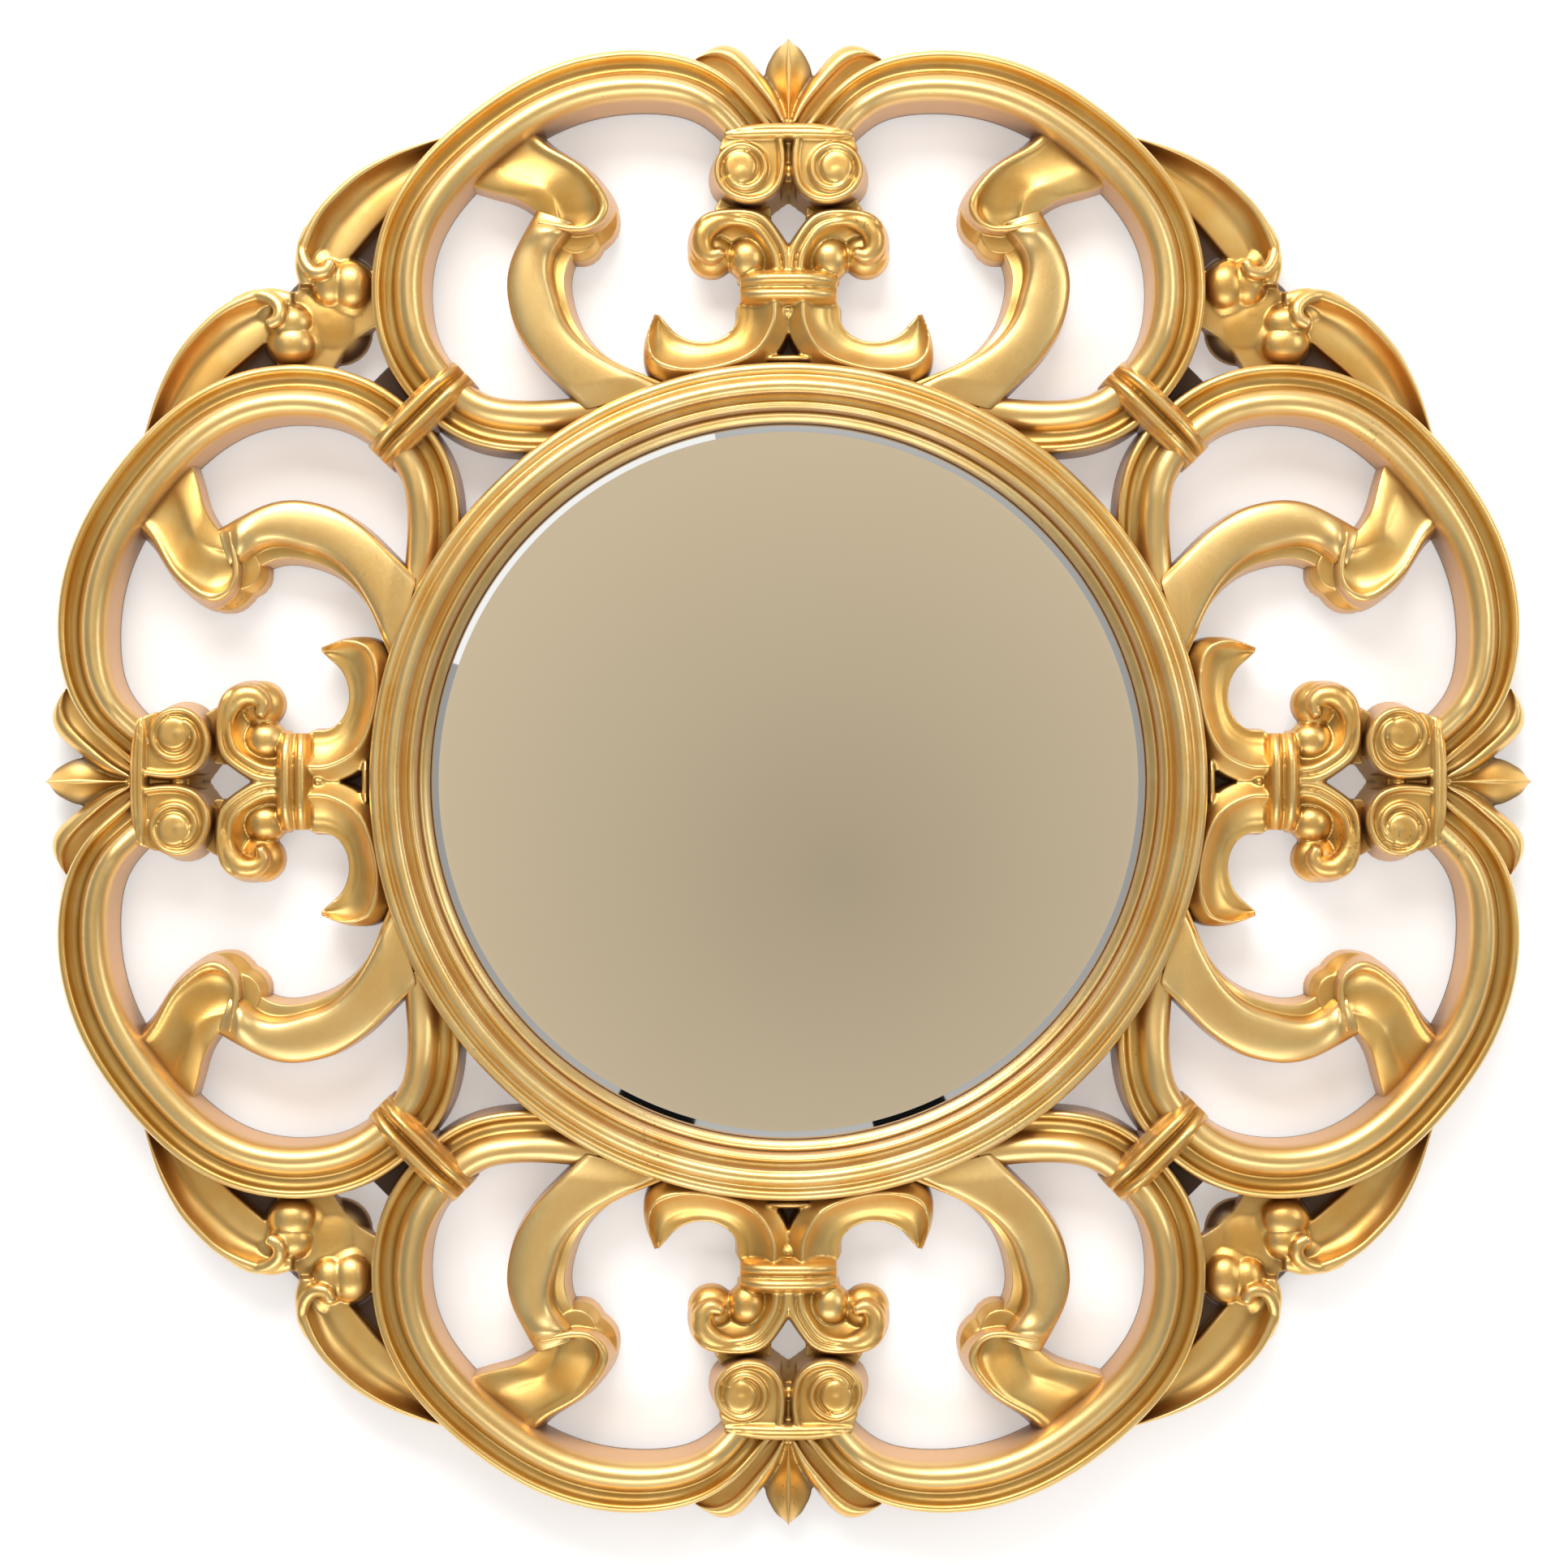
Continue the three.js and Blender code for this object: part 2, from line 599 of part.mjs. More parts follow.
// The D-ring: a round wire bent into a straight bar and a bow, its axis in the middle of the bar.
function hangerRing() {
  const half = ringBarLength / 2;
  const points = [new THREE.Vector2(2 - half, 0), new THREE.Vector2(half - 2, 0)];
  for (let i = 0; i <= 9; i += 1) {
    const angle = THREE.MathUtils.lerp(-0.5, Math.PI + 0.5, i / 9);
    points.push(new THREE.Vector2(half * Math.cos(angle), ringReach - half + half * Math.sin(angle)));
  }
  const rows = points.map((point, i) => {
    const before = points.at(i - 1);
    const after = points[(i + 1) % points.length];
    const side = after.clone().sub(before).normalize().rotateAround(new THREE.Vector2(), -Math.PI / 2);
    return [0, 60, 120, 180, 240, 300].map((degrees) => {
      const angle = THREE.MathUtils.degToRad(degrees);
      const out = point.clone().addScaledVector(side, wireRadius * Math.cos(angle));
      return new THREE.Vector3(out.x, out.y, pinHeight + wireRadius * Math.sin(angle));
    });
  });
  return solid(loft(rows));
}

// ---- Assembly -----------------------------------------------------------------------------------

const gilt = new THREE.MeshStandardMaterial({ color: 0xd9a441, roughness: 0.35, metalness: 1 });
const silvered = new THREE.MeshStandardMaterial({ color: 0xd8d8d4, roughness: 0.03, metalness: 1 });
const hardboard = new THREE.MeshStandardMaterial({ color: 0x6b4a2e, roughness: 0.8, metalness: 0 });
const zincPlate = new THREE.MeshStandardMaterial({ color: 0xb9bcc0, roughness: 0.4, metalness: 1 });

const bench = new THREE.Group();

function add(group, name, geometry, material) {
  const mesh = new THREE.Mesh(geometry, material);
  mesh.name = name;
  group.add(mesh);
  return mesh;
}

// The room that each carved piece leaves for its neighbours.
const scrollRoom = room(scrollStations, scrollFace, bandDepth * tailShare, scrollLean);
const scrollRooms = [scrollRoom, copyOf(scrollRoom, mirror), copyOf(scrollRoom, acrossDiagonal)];
const branchRoom = room(branchStations, branchFace, branchDepth, branchLean);
const branchRooms = [branchRoom, copyOf(branchRoom, mirror)];
const hookRoom = room(hookStations, hookFace, hookDepth, hookLean);
const capSpace = capRoom();
const ringSpace = turned(
  [[0, below], [ringRadius + gap, below], [ringRadius + gap, tall], [0, tall]], ringSides);

// The eighth of the frame that a C-scroll may fill, half a gap short of the diagonal.
const eighthSpace = prism([
  new THREE.Vector2(gap, gap * 2), new THREE.Vector2(gap, 3 * ringRadius),
  new THREE.Vector2(3 * ringRadius - gap, 3 * ringRadius),
], below, tall);

// A C-scroll grown by the gap all over, to shape the underside of the ties.
function grownScroll() {
  const wider = scrollStations.map(([a, b]) => {
    const side = b.clone().sub(a).setLength(2 * gap);
    return [a.clone().sub(side), b.clone().add(side)];
  });
  const deeper = scrollFace.map(([share, height]) => [share, height + (2 * gap) / bandDepth]);
  return band(wider, deeper, bandDepth, scrollLean, scrollDip, below);
}

const scrollBlank = band(scrollStations, scrollFace, bandDepth, scrollLean, scrollDip);
const scroll = cut(scrollBlank, ringSpace, capSpace, branchRoom).intersect(eighthSpace);
const hook = cut(band(hookStations, hookFace, hookDepth, hookLean), scrollRoom);
const branch = cut(band(branchStations, branchFace, branchDepth, branchLean), ringSpace, hookRoom);
const grown = grownScroll();

const eighthPieces = { c_scroll: scroll, hook_leaf: hook, inner_scroll: branch };
const sidePieces = {
  crest: crest(scrollRooms, capSpace),
  volute_cap: voluteCap(),
  fleuron: fleuron(capSpace, ringSpace, branchRooms),
  diagonal_tie: diagonalTie([grown, copyOf(grown, acrossDiagonal)]),
  back_scroll: backScroll(scrollRooms),
};

// Four sides, numbered clockwise from the top, each with the eighths on its right and left.
for (let side = 0; side < 4; side += 1) {
  const quarter = new THREE.Group();
  quarter.rotation.z = (-Math.PI / 2) * side;
  bench.add(quarter);
  for (const [name, body] of Object.entries(eighthPieces)) {
    const right = geometryOf(body);
    add(quarter, `${name}_${2 * side + 1}`, right, gilt);
    add(quarter, `${name}_${2 * side || 8}`, moved(right, mirror), gilt);
  }
  for (const [name, body] of Object.entries(sidePieces)) {
    add(quarter, `${name}_${side + 1}`, geometryOf(body), gilt);
  }
}

// Screws of the board, then the hangers and theirs. Each screw has its hole in what it holds.
const boardScrewRadius = (rebateRadius + landRadius) / 2;
const screwGeometry = geometryOf(screw());
const holes = [];
for (let i = 0; i < screwsInBoard; i += 1) {
  const place = turn((360 / screwsInBoard) * (i + 0.5)).multiply(shift(0, boardScrewRadius, 0));
  holes.push(copyOf(pilotHole(), place));
  const mesh = add(bench, `board_screw_${i + 1}`, screwGeometry, zincPlate);
  mesh.position.setFromMatrixPosition(place);
}

const plateGeometry = geometryOf(hangerPlate());
const wireGeometry = geometryOf(hangerRing());
const ringHoles = [];
for (const [sideName, sign] of [['right', 1], ['left', -1]]) {
  const angle = THREE.MathUtils.degToRad(hangerAngle);
  const reach = landRadius + flangeWidth / 2;
  const hanger = new THREE.Group();
  hanger.position.set(sign * reach * Math.sin(angle), reach * Math.cos(angle), 0);
  hanger.rotation.z = sign * (Math.PI / 2 - angle);
  hanger.updateMatrix();
  bench.add(hanger);
  add(hanger, `hanger_plate_${sideName}`, plateGeometry, zincPlate);
  add(hanger, `hanger_ring_${sideName}`, wireGeometry, zincPlate);
  plateScrews.forEach((y, i) => {
    const mesh = add(hanger, `hanger_screw_${sideName}_${i + 1}`, screwGeometry, zincPlate);
    mesh.position.set(0, y, -gap - strapPlateThickness);
    ringHoles.push(copyOf(pilotHole(), hanger.matrix.clone().multiply(shift(0, y, 0))));
  });
}

add(bench, 'frame_ring', geometryOf(cut(frameRing(), ...holes, ...ringHoles)), gilt);
add(bench, 'mirror_glass', geometryOf(mirrorGlass()), silvered);
add(bench, 'backing_board', geometryOf(cut(backingBoard(), ...holes)), hardboard);

const mirrorAssembly = new THREE.Group();
bench.rotation.x = Math.PI / 2;
mirrorAssembly.add(bench);

export default mirrorAssembly;
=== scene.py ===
"""A round mirror in a pierced frame of gilded scrollwork: its carving, gilding, glass and fittings.

Shapes are worked out lying on their back, in millimetres: x to the right, y up the wall and z out
of the wall, with z = 0 at the back of the frame. The carving is drawn once, in the eighth of the
frame to the right of the top, and turned or mirrored into its other places.
"""

import math
from functools import partial

import bpy
import numpy as np
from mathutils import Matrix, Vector


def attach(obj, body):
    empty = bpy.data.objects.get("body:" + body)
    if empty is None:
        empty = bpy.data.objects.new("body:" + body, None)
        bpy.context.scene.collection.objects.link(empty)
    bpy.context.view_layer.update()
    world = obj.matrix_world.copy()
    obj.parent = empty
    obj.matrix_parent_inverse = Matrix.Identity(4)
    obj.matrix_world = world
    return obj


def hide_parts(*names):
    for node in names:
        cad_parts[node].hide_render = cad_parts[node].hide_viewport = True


bl_info = {
    "name": "Gilded Scroll Mirror",
    "version": (1, 0, 0),
    "blender": (4, 5, 0),
    "location": "View3D > Sidebar > Mirror",
    "description": "Builds the carving, gilding, glass and fittings of a round wall mirror",
    "category": "Object",
}

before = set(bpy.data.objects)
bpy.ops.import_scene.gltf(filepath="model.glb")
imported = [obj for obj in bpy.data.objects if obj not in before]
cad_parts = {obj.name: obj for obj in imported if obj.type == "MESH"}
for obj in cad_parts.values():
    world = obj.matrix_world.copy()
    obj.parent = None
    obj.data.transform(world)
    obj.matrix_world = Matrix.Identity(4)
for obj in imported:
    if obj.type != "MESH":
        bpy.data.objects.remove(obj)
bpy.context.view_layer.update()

MM = 0.001
SIDES = 4
BALL_SIDES = 40
TRACE = 0.001

# ---- Sizes shared with the solids, in millimetres -------------------------------------------------

RING_RADIUS = 251.4
SIGHT_RADIUS = 217.2
GLASS_RADIUS = 225.0
REBATE_RADIUS = 225.6
LAND_RADIUS = 236.0
LAND_HEIGHT = 3.3
BOARD_THICKNESS = 3.0
GLASS_THICKNESS = 4.0
GLASS_EDGE = 3.2
CLEARANCE = 0.3

BAND_DEPTH = 34.5
TAIL_SHARE = 0.9
HOOK_DEPTH = 30.0
BRANCH_DEPTH = 31.0
CREST_DEPTH = 21.0
BAR_OUT = 139.6
BAR_HALF_LENGTH = 39.0
BAR_DEPTH = 32.0
VOLUTE_OUT = 114.6
VOLUTE_HALF_SPACING = 28.0
VOLUTE_RADIUS = 17.0
VOLUTE_DEPTH = 30.0
FLEURON_DEPTH = 28.0
STRAP_DEPTH = 31.0
BAR_ENDS_OUT = 137.2
BAR_BOW = 1.8
BAR_HALF_WIDTH = 5.1
STRAP_OUT = 46.0
STRAP_HALF_LENGTH = 28.5
STRAP_HALF_WIDTH = 10.4
TIE_OUT = 61.0
TIE_WIDTH = 23.0
TIE_HALF_LENGTH = 36.5
TIE_DEPTH = 39.1
TROUGH_DEPTH = 22.0

SHANK_RADIUS = 1.7
HEAD_RADIUS = 3.2
HEAD_HEIGHT = 2.0
SCREW_LENGTH = 12.0
HANGER_ANGLE = 60.0
PLATE_WIDTH = 13.0
PLATE_LENGTH = 34.0
PLATE_THICKNESS = 1.2
WIRE_RADIUS = 1.6
RING_BAR_LENGTH = 19.0
RING_REACH = 20.0
PLATE_SCREWS = (-9.0, -27.0)
LOOP_INSIDE = WIRE_RADIUS + CLEARANCE
LOOP_OUTSIDE = LOOP_INSIDE + PLATE_THICKNESS
PIN_HEIGHT = -CLEARANCE - LOOP_OUTSIDE

# Outlines: [degrees from the middle of the side, distance out from the ring] for those that follow
# the ring, [distance from the middle line, distance out] for the upright ones.
SCROLL_LINE = [
    (2.9, 136.5, 25), (5, 157, 25.5), (7.1, 169.8, 27.5), (9.4, 177.3, 29.5), (12.2, 183, 31),
    (15.5, 187, 31), (19.1, 186.6, 31), (22.3, 183.1, 31), (25.7, 177.1, 31.5), (29.1, 170.7, 31.5),
    (32.2, 162, 31.5), (34.9, 150.8, 31.5), (37.3, 136, 31.5), (39.2, 120.3, 32),
    (40.7, 104.6, 31.5), (41.8, 86.8, 31), (42, 63.7, 31), (41.6, 43.6, 31), (39.7, 27.3, 31),
    (36.6, 13.8, 31.5), (32, 1.5, 32), (27.8, -6, 32),
]
HOOK_LEFT = [
    (21.6, 172.4), (20.9, 160), (19.8, 150), (18.6, 139.6), (17.8, 128.5), (17.3, 118.2),
    (17.3, 110.5), (18.2, 103.2), (19.7, 100.2), (21.4, 102.6),
]
HOOK_RIGHT = [
    (29, 164.9), (27.9, 154.5), (26.6, 145.5), (25.4, 138.2), (24.6, 132), (24.1, 126.5),
    (23.8, 122.5), (23.6, 119), (23.6, 116.8), (23.7, 115),
]
HOOK_LIP = [
    (17.9, 118), (18, 110), (18.8, 104), (20.1, 102.3), (21.6, 105.6), (22.8, 110.4), (24, 115.8),
]
HOOK_ROOTS = [
    [(120.8, 340, 19, 0), (121.4, 340.6, 18, 10), (122.6, 342, 14, 16.5)],
    [(126.4, 328.6, 15.6, 0), (127, 329.4, 14.8, 9), (128.6, 331.4, 12.4, 17)],
]
BRANCH_LEFT = [
    (19.6, 99.2), (21, 96.2), (22.7, 90.9), (24.1, 80.5), (24.8, 65.8), (25, 51), (24.2, 34.8),
    (22.4, 21.2), (20.1, 10.5), (16.4, -3.3),
]
BRANCH_RIGHT = [
    (23.9, 123.8), (25.7, 114.9), (27.6, 106.4), (29.2, 95.5), (30.3, 82.3), (31, 67.1), (31, 51.4),
    (30.6, 37.8), (29.9, 25.4), (28.6, 3.7),
]
CREST_OUTER = [
    (1, 146.6), (5, 160), (13, 172.5), (22, 184.5), (31, 193), (40, 195), (48, 192), (57, 184.6),
]
CREST_INNER = [(7, 142.6), (17, 149.6), (28, 159.6), (38, 167.6), (46, 173.6), (53, 178.6), (61, 182.6)]
BLADE_FOOT, BLADE_TIP = 144.6, 198.6
BLADE_HALF_WIDTHS = [(0, 3), (0.25, 6.5), (0.62, 14), (0.86, 9), (1, 0.6)]
CURL_OUTER = [
    (-2, 50.6), (-1.5, 67.6), (4, 77.6), (12, 88.6), (21, 93.1), (36, 93.6), (50, 91.1),
    (58, 83.6), (60, 74), (58.5, 65), (53, 60),
]
CURL_HUB = [
    (31, 50.6), (31, 53.6), (31, 56.6), (32, 59.6), (34, 61.6), (36, 63.6), (39, 64.6), (42, 63.6),
    (44, 61.6), (44.5, 60), (44.5, 58.6),
]
UPTURNED_OPEN = [
    (31, 35.6), (31.5, 25.6), (38, 18.1), (49, 14.1), (61, 15.6), (69, 20.1), (74, 25.6), (78, 30.1),
]
UPTURNED_BED = [
    (-2, 35.6), (-1.5, 25), (9.5, 3), (34, -8.4), (62, -13.4), (84, -6.4), (87.5, 11.6), (81, 30.1),
]
TROUGH_OUTER = [
    (27.6, 188.7), (30, 193), (31.8, 196.3), (33.8, 198.5), (35.5, 199.5), (37.4, 198.4),
    (39.2, 196.4), (41, 192.3), (42.5, 186.7), (43.8, 179.3), (44.5, 169.3),
]
TROUGH_INNER = [
    (27.2, 173.5), (29.6, 173.4), (31.9, 171.4), (34, 170), (35.8, 168.4), (37.5, 165.8),
    (39.1, 163.4), (40.3, 161.8), (41.3, 160.2), (42.1, 159), (42.7, 157.6),
]
BRIDGE_HALF = [(45, 169), (43.6, 176), (41, 160), (38.6, 145), (40.4, 117), (42.6, 121), (45, 124.5)]


def linear(hex_colour):
    """An sRGB hex colour as linear red, green and blue."""
    parts = [int(hex_colour[i:i + 2], 16) / 255 for i in (1, 3, 5)]
    return tuple(c / 12.92 if c <= 0.04045 else ((c + 0.055) / 1.055) ** 2.4 for c in parts)


# ---- Curves ---------------------------------------------------------------------------------------


def polar(points):
    """Plan points from degrees and distances out from the ring."""
    degrees, out = np.asarray(points, float)[:, :2].T
    angle = np.radians(degrees)
    radius = RING_RADIUS + out
    return np.stack([radius * np.sin(angle), radius * np.cos(angle)], 1)


def upright(points):
    """Plan points from distances off the middle line and out from the top of the ring."""
    points = np.asarray(points, float)
    return np.stack([points[:, 0], points[:, 1] + RING_RADIUS], 1)


def spline(points, count):
    """Centripetal curve through the points, sampled at count places."""
    p = np.asarray(points, float)
    p = np.vstack([2 * p[0] - p[1], p, 2 * p[-1] - p[-2]])
    at = np.linspace(0, len(p) - 3, count)
    k = np.minimum(at.astype(int), len(p) - 4)
    w = (at - k)[:, None]
    p0, p1, p2, p3 = p[k], p[k + 1], p[k + 2], p[k + 3]
    d0, d1, d2 = (
        np.sqrt(np.linalg.norm(b - a, axis=1))[:, None] for a, b in ((p0, p1), (p1, p2), (p2, p3))
    )
    m1 = ((p1 - p0) / d0 - (p2 - p0) / (d0 + d1) + (p2 - p1) / d1) * d1
    m2 = ((p2 - p1) / d1 - (p3 - p1) / (d1 + d2) + (p3 - p2) / d2) * d1
    return (p1 + m1 * w + (3 * (p2 - p1) - 2 * m1 - m2) * w ** 2 + (2 * (p1 - p2) + m1 + m2) * w ** 3)


def faired(curve, spread):
    """The sampled curve evened out over spread samples, its ends held, so light runs along it."""
    reach = min(3 * spread, len(curve) - 1)
    head = 2 * curve[0] - curve[reach:0:-1]
    tail = 2 * curve[-1] - curve[-2:-reach - 2:-1]
    padded = np.concatenate([head, curve, tail])
    kernel = np.exp(-0.5 * (np.arange(-reach, reach + 1) / spread) ** 2)
    kernel /= kernel.sum()
    columns = [np.convolve(column, kernel, "valid") for column in padded.T]
    return np.stack(columns, 1)


def between(edge_a, edge_b, count, spread):
    """Stations between two edges, as two rows of plan points."""
    return faired(spline(edge_a, count), spread), faired(spline(edge_b, count), spread)


def astride(line, widths, count, spread):
    """Stations across a centre line with a width at each of its points."""
    widths = np.asarray(widths, float)[:, None]
    path = faired(spline(np.hstack([line, widths]), count), spread)
    ahead = np.gradient(path[:, :2], axis=0)
    ahead /= np.linalg.norm(ahead, axis=1)[:, None]
    side = np.stack([-ahead[:, 1], ahead[:, 0]], 1) * path[:, 2:] / 2
    return path[:, :2] + side, path[:, :2] - side


def level_band(x, out, half):
    """Two edges at half on either side of out, for a piece that lies across the top."""
    return upright(np.stack([x, out + half], 1)), upright(np.stack([x, out - half], 1))


def smooth(low, high, value):
    """Rises smoothly from 0 at low to 1 at high."""
    t = np.clip((np.asarray(value, float) - low) / (high - low), 0, 1)
    return t * t * (3 - 2 * t)


def bump(middle, spread, value):
    """A bell that is 1 at middle."""
    return np.exp(-0.5 * ((np.asarray(value, float) - middle) / spread) ** 2)


def moulding(knots, steps=9):
    """Shares and heights across a face. A knot is share, height and swell on the way to the next."""
    shares, heights = [], []
    for (s0, z0, swell), (s1, z1, _) in zip(knots, knots[1:]):
        u = np.arange(steps) / steps
        shares.extend(s0 + (s1 - s0) * u)
        heights.extend(z0 + (z1 - z0) * u + swell * (4 * u * (1 - u)) ** 0.75)
    shares.append(knots[-1][0])
    heights.append(knots[-1][1])
    return np.array(shares), np.array(heights)


def changing(keys, count, steps=9):
    """Mouldings with the same number of knots that pass one into the next along a band."""
    at = [t for t, _ in keys]
    made = [moulding(knots, steps) for _, knots in keys]
    t = np.linspace(0, 1, count)
    weights = []
    for i, middle in enumerate(at):
        rise = smooth(at[i - 1], middle, t) if i > 0 else np.ones(count)
        fall = 1 - smooth(middle, at[i + 1], t) if i + 1 < len(at) else np.ones(count)
        weights.append(np.where(t < middle, rise, fall))
    weights = np.array(weights)
    weights /= weights.sum(0)
    shares = np.einsum("kn,km->nm", weights, np.array([s for s, _ in made]))
    heights = np.einsum("kn,km->nm", weights, np.array([h for _, h in made]))
    return shares, heights


# ---- Skins: (points, faces) in millimetres --------------------------------------------------------


def band_rows(a, b, shares, heights, lean, wall_steps=7, back_steps=5):
    """Closed sections from edge a to edge b: the carved face, a wall, the back and the other wall.
    The walls lean out by lean on their way to the back."""
    count = len(a)
    shares = np.broadcast_to(shares, (count, np.shape(shares)[-1]))
    heights = np.broadcast_to(heights, (count, np.shape(heights)[-1]))
    span = b - a
    side = span / np.linalg.norm(span, axis=1)[:, None]
    face = a[:, None] + span[:, None] * shares[..., None]
    parts = [np.concatenate([face, heights[..., None]], 2)]
    down = (np.arange(1, wall_steps + 1) / wall_steps)[None, :, None]

    def wall(edge, outward, height, share):
        plan = edge[:, None] + outward[:, None] * share
        return np.concatenate([plan, height[:, None, None] * (1 - share)], 2)

    parts.append(wall(b, side * lean[1], heights[:, -1], down))
    foot_b, foot_a = b + side * lean[1], a - side * lean[0]
    along = (np.arange(1, back_steps) / back_steps)[None, :, None]
    plan = foot_b[:, None] + (foot_a - foot_b)[:, None] * along
    parts.append(np.concatenate([plan, np.zeros(plan.shape[:2] + (1,))], 2))
    parts.append(wall(a, -side * lean[0], heights[:, 0], down[:, ::-1]))
    return np.concatenate(parts, 1)


def softened(rows, radius):
    """Rounds every edge of the sections by about radius, as gesso does."""
    steps = np.linalg.norm(np.roll(rows, -1, 1) - rows, axis=2).mean(0)
    place = np.concatenate([[0], np.cumsum(steps)[:-1]])
    total = steps.sum()
    apart = np.abs(place[:, None] - place[None])
    apart = np.minimum(apart, total - apart)
    share = (steps + np.roll(steps, 1)) / 2
    weights = np.exp(-0.5 * (apart / radius) ** 2) * share[None]
    weights /= weights.sum(1)[:, None]
    return np.einsum("ij,njk->nik", weights, rows)


def round_ends(rows, radius, steps=4):
    """Adds stations that round off the ends of a run of sections."""
    ends = []
    for row, before in ((rows[0], rows[1]), (rows[-1], rows[-2])):
        centre = row.mean(0)
        ahead = centre - before.mean(0)
        ahead[2] = 0
        ahead /= np.linalg.norm(ahead)
        size = np.linalg.norm(row - centre, axis=1).mean()
        extra = []
        for k in range(1, steps + 1):
            angle = math.pi / 2 * k / steps
            shrink = 1 - radius * (1 - math.cos(angle)) / size
            extra.append(centre + (row - centre) * shrink + ahead * radius * math.sin(angle))
        ends.append(np.array(extra))
    return np.concatenate([ends[0][::-1], rows, ends[1]])


def strip(a, b, shares, heights, lean, edge, end):
    """A carved strip from plan edge a to b, its edges softened and its ends rounded."""
    return skin(round_ends(softened(band_rows(a, b, shares, heights, lean), edge), end))


def skin(rows, closed=False):
    """A closed skin over sections. Open runs are closed by a fan at each end."""
    n, m = rows.shape[:2]
    index = np.arange(n * m).reshape(n, m)
    onward = np.roll(index, -1, 0) if closed else index[1:]
    here = index if closed else index[:-1]
    quads = np.stack([here, onward, np.roll(onward, -1, 1), np.roll(here, -1, 1)], 2).reshape(-1, 4)
    points = rows.reshape(-1, 3)
    fans = np.zeros((0, 3), int)
    if not closed:
        points = np.vstack([points, rows[0].mean(0), rows[-1].mean(0)])
        first, last = index[0], index[-1]
        hubs = np.full(m, n * m), np.full(m, n * m + 1)
        fans = np.vstack([
            np.stack([first, np.roll(first, -1), hubs[0]], 1),
            np.stack([np.roll(last, -1), last, hubs[1]], 1),
        ])
    return outward(points, quads, fans)


def outward(points, quads, triangles):
    """The skin with its faces turned to point outwards."""
    tris = np.vstack([quads[:, [0, 1, 2]], quads[:, [0, 2, 3]], triangles])
    a, b, c = points[tris[:, 0]], points[tris[:, 1]], points[tris[:, 2]]
    if np.einsum("ij,ij->", a, np.cross(b, c)) < 0:
        quads, triangles = quads[:, ::-1], triangles[:, ::-1]
    return points, quads, triangles


def around(sides):
    """The angles of the sides of a round."""
    return np.linspace(0, 2 * math.pi, sides, endpoint=False)


def lathe(profile, sides):
    """A profile of [radius, height] turned about the middle, as sections one after the other."""
    radius, height = np.asarray(profile, float).T
    angle = around(sides)[:, None]
    x = radius * np.sin(angle)
    return np.stack([x, radius * np.cos(angle), np.broadcast_to(height, x.shape)], 2)


def spun(profile, sides):
    """The closed skin of a turned piece whose profile starts and ends at the middle."""
    return skin(np.swapaxes(lathe(profile, sides), 0, 1))


def stacked(discs, sides):
    """A skin over discs of [x, y, radius, height], from the lowest to the highest."""
    angle = around(sides)
    return skin(np.array([
        np.stack([x + radius * np.cos(angle), y + radius * np.sin(angle), np.full(sides, height)], 1)
        for x, y, radius, height in discs
    ]))


def tube(path, radii, sides=20):
    """A round rod along a path, with its ends rounded."""
    path = np.asarray(path, float)
    radii = np.broadcast_to(np.asarray(radii, float), len(path))
    ahead = np.gradient(path, axis=0)
    ahead /= np.linalg.norm(ahead, axis=1)[:, None]
    side = np.cross(ahead, (0, 0, 1))
    side /= np.linalg.norm(side, axis=1)[:, None]
    up = np.cross(side, ahead)
    angle = around(sides)[None, :, None]
    ring = side[:, None] * np.cos(angle) + up[:, None] * np.sin(angle)
    rows = path[:, None] + ring * radii[:, None, None]
    return skin(round_ends(rows, min(radii[0], radii[-1]) * 0.95, steps=5))


def ball(centre, radii):
    """An egg with its own radius along each direction."""
    level = np.linspace(0, math.pi, BALL_SIDES // 2 + 1)[1:-1][:, None]
    angle = around(BALL_SIDES)[None]
    return skin(np.stack([
        centre[0] + radii[0] * np.sin(level) * np.cos(angle),
        centre[1] + radii[1] * np.sin(level) * np.sin(angle),
        centre[2] + radii[2] * np.cos(level) * np.ones_like(angle),
    ], 2))


def slab(outline, low, high, spread=0.0, drop=0.0):
    """An upright block on a plan outline; its back is wider by spread and shifted down by drop."""
    outline = np.asarray(outline, float)
    centre = outline.mean(0)
    away = outline - centre
    wider = outline + away / np.linalg.norm(away, axis=1)[:, None] * spread - [0, drop]
    return skin(np.stack([
        np.hstack([plan, np.full((len(plan), 1), level)]) for plan, level in ((wider, low), (outline, high))
    ]))


def gathered(skins):
    """Several skins as one."""
    points, quads, triangles, start = [], [], [], 0
    for p, q, t in skins:
        points.append(p)
        quads.append(q + start)
        triangles.append(t + start)
        start += len(p)
    return np.vstack(points), np.vstack(quads), np.vstack(triangles)


def mirrored(shape):
    """The left-hand twin of a skin."""
    points, quads, triangles = shape
    return points * [-1, 1, 1], quads[:, ::-1], triangles[:, ::-1]


def swapped(shape):
    """The twin of a skin across the diagonal."""
    points, quads, triangles = shape
    return points[:, [1, 0, 2]], quads[:, ::-1], triangles[:, ::-1]


def turned(shape, degrees):
    """A skin turned clockwise, as seen from the front."""
    points, quads, triangles = shape
    angle = math.radians(degrees)
    c, s = math.cos(angle), math.sin(angle)
    x, y, z = points.T
    return np.stack([c * x + s * y, -s * x + c * y, z], 1), quads, triangles


def to_metres(points):
    return np.stack([points[:, 0], -points[:, 2], points[:, 1]], 1) * MM


def mesh_from(name, shape):
    points, quads, triangles = shape
    mesh = bpy.data.meshes.new(name)
    mesh.from_pydata(to_metres(points).tolist(), [], quads.tolist() + triangles.tolist())
    mesh.update()
    return mesh


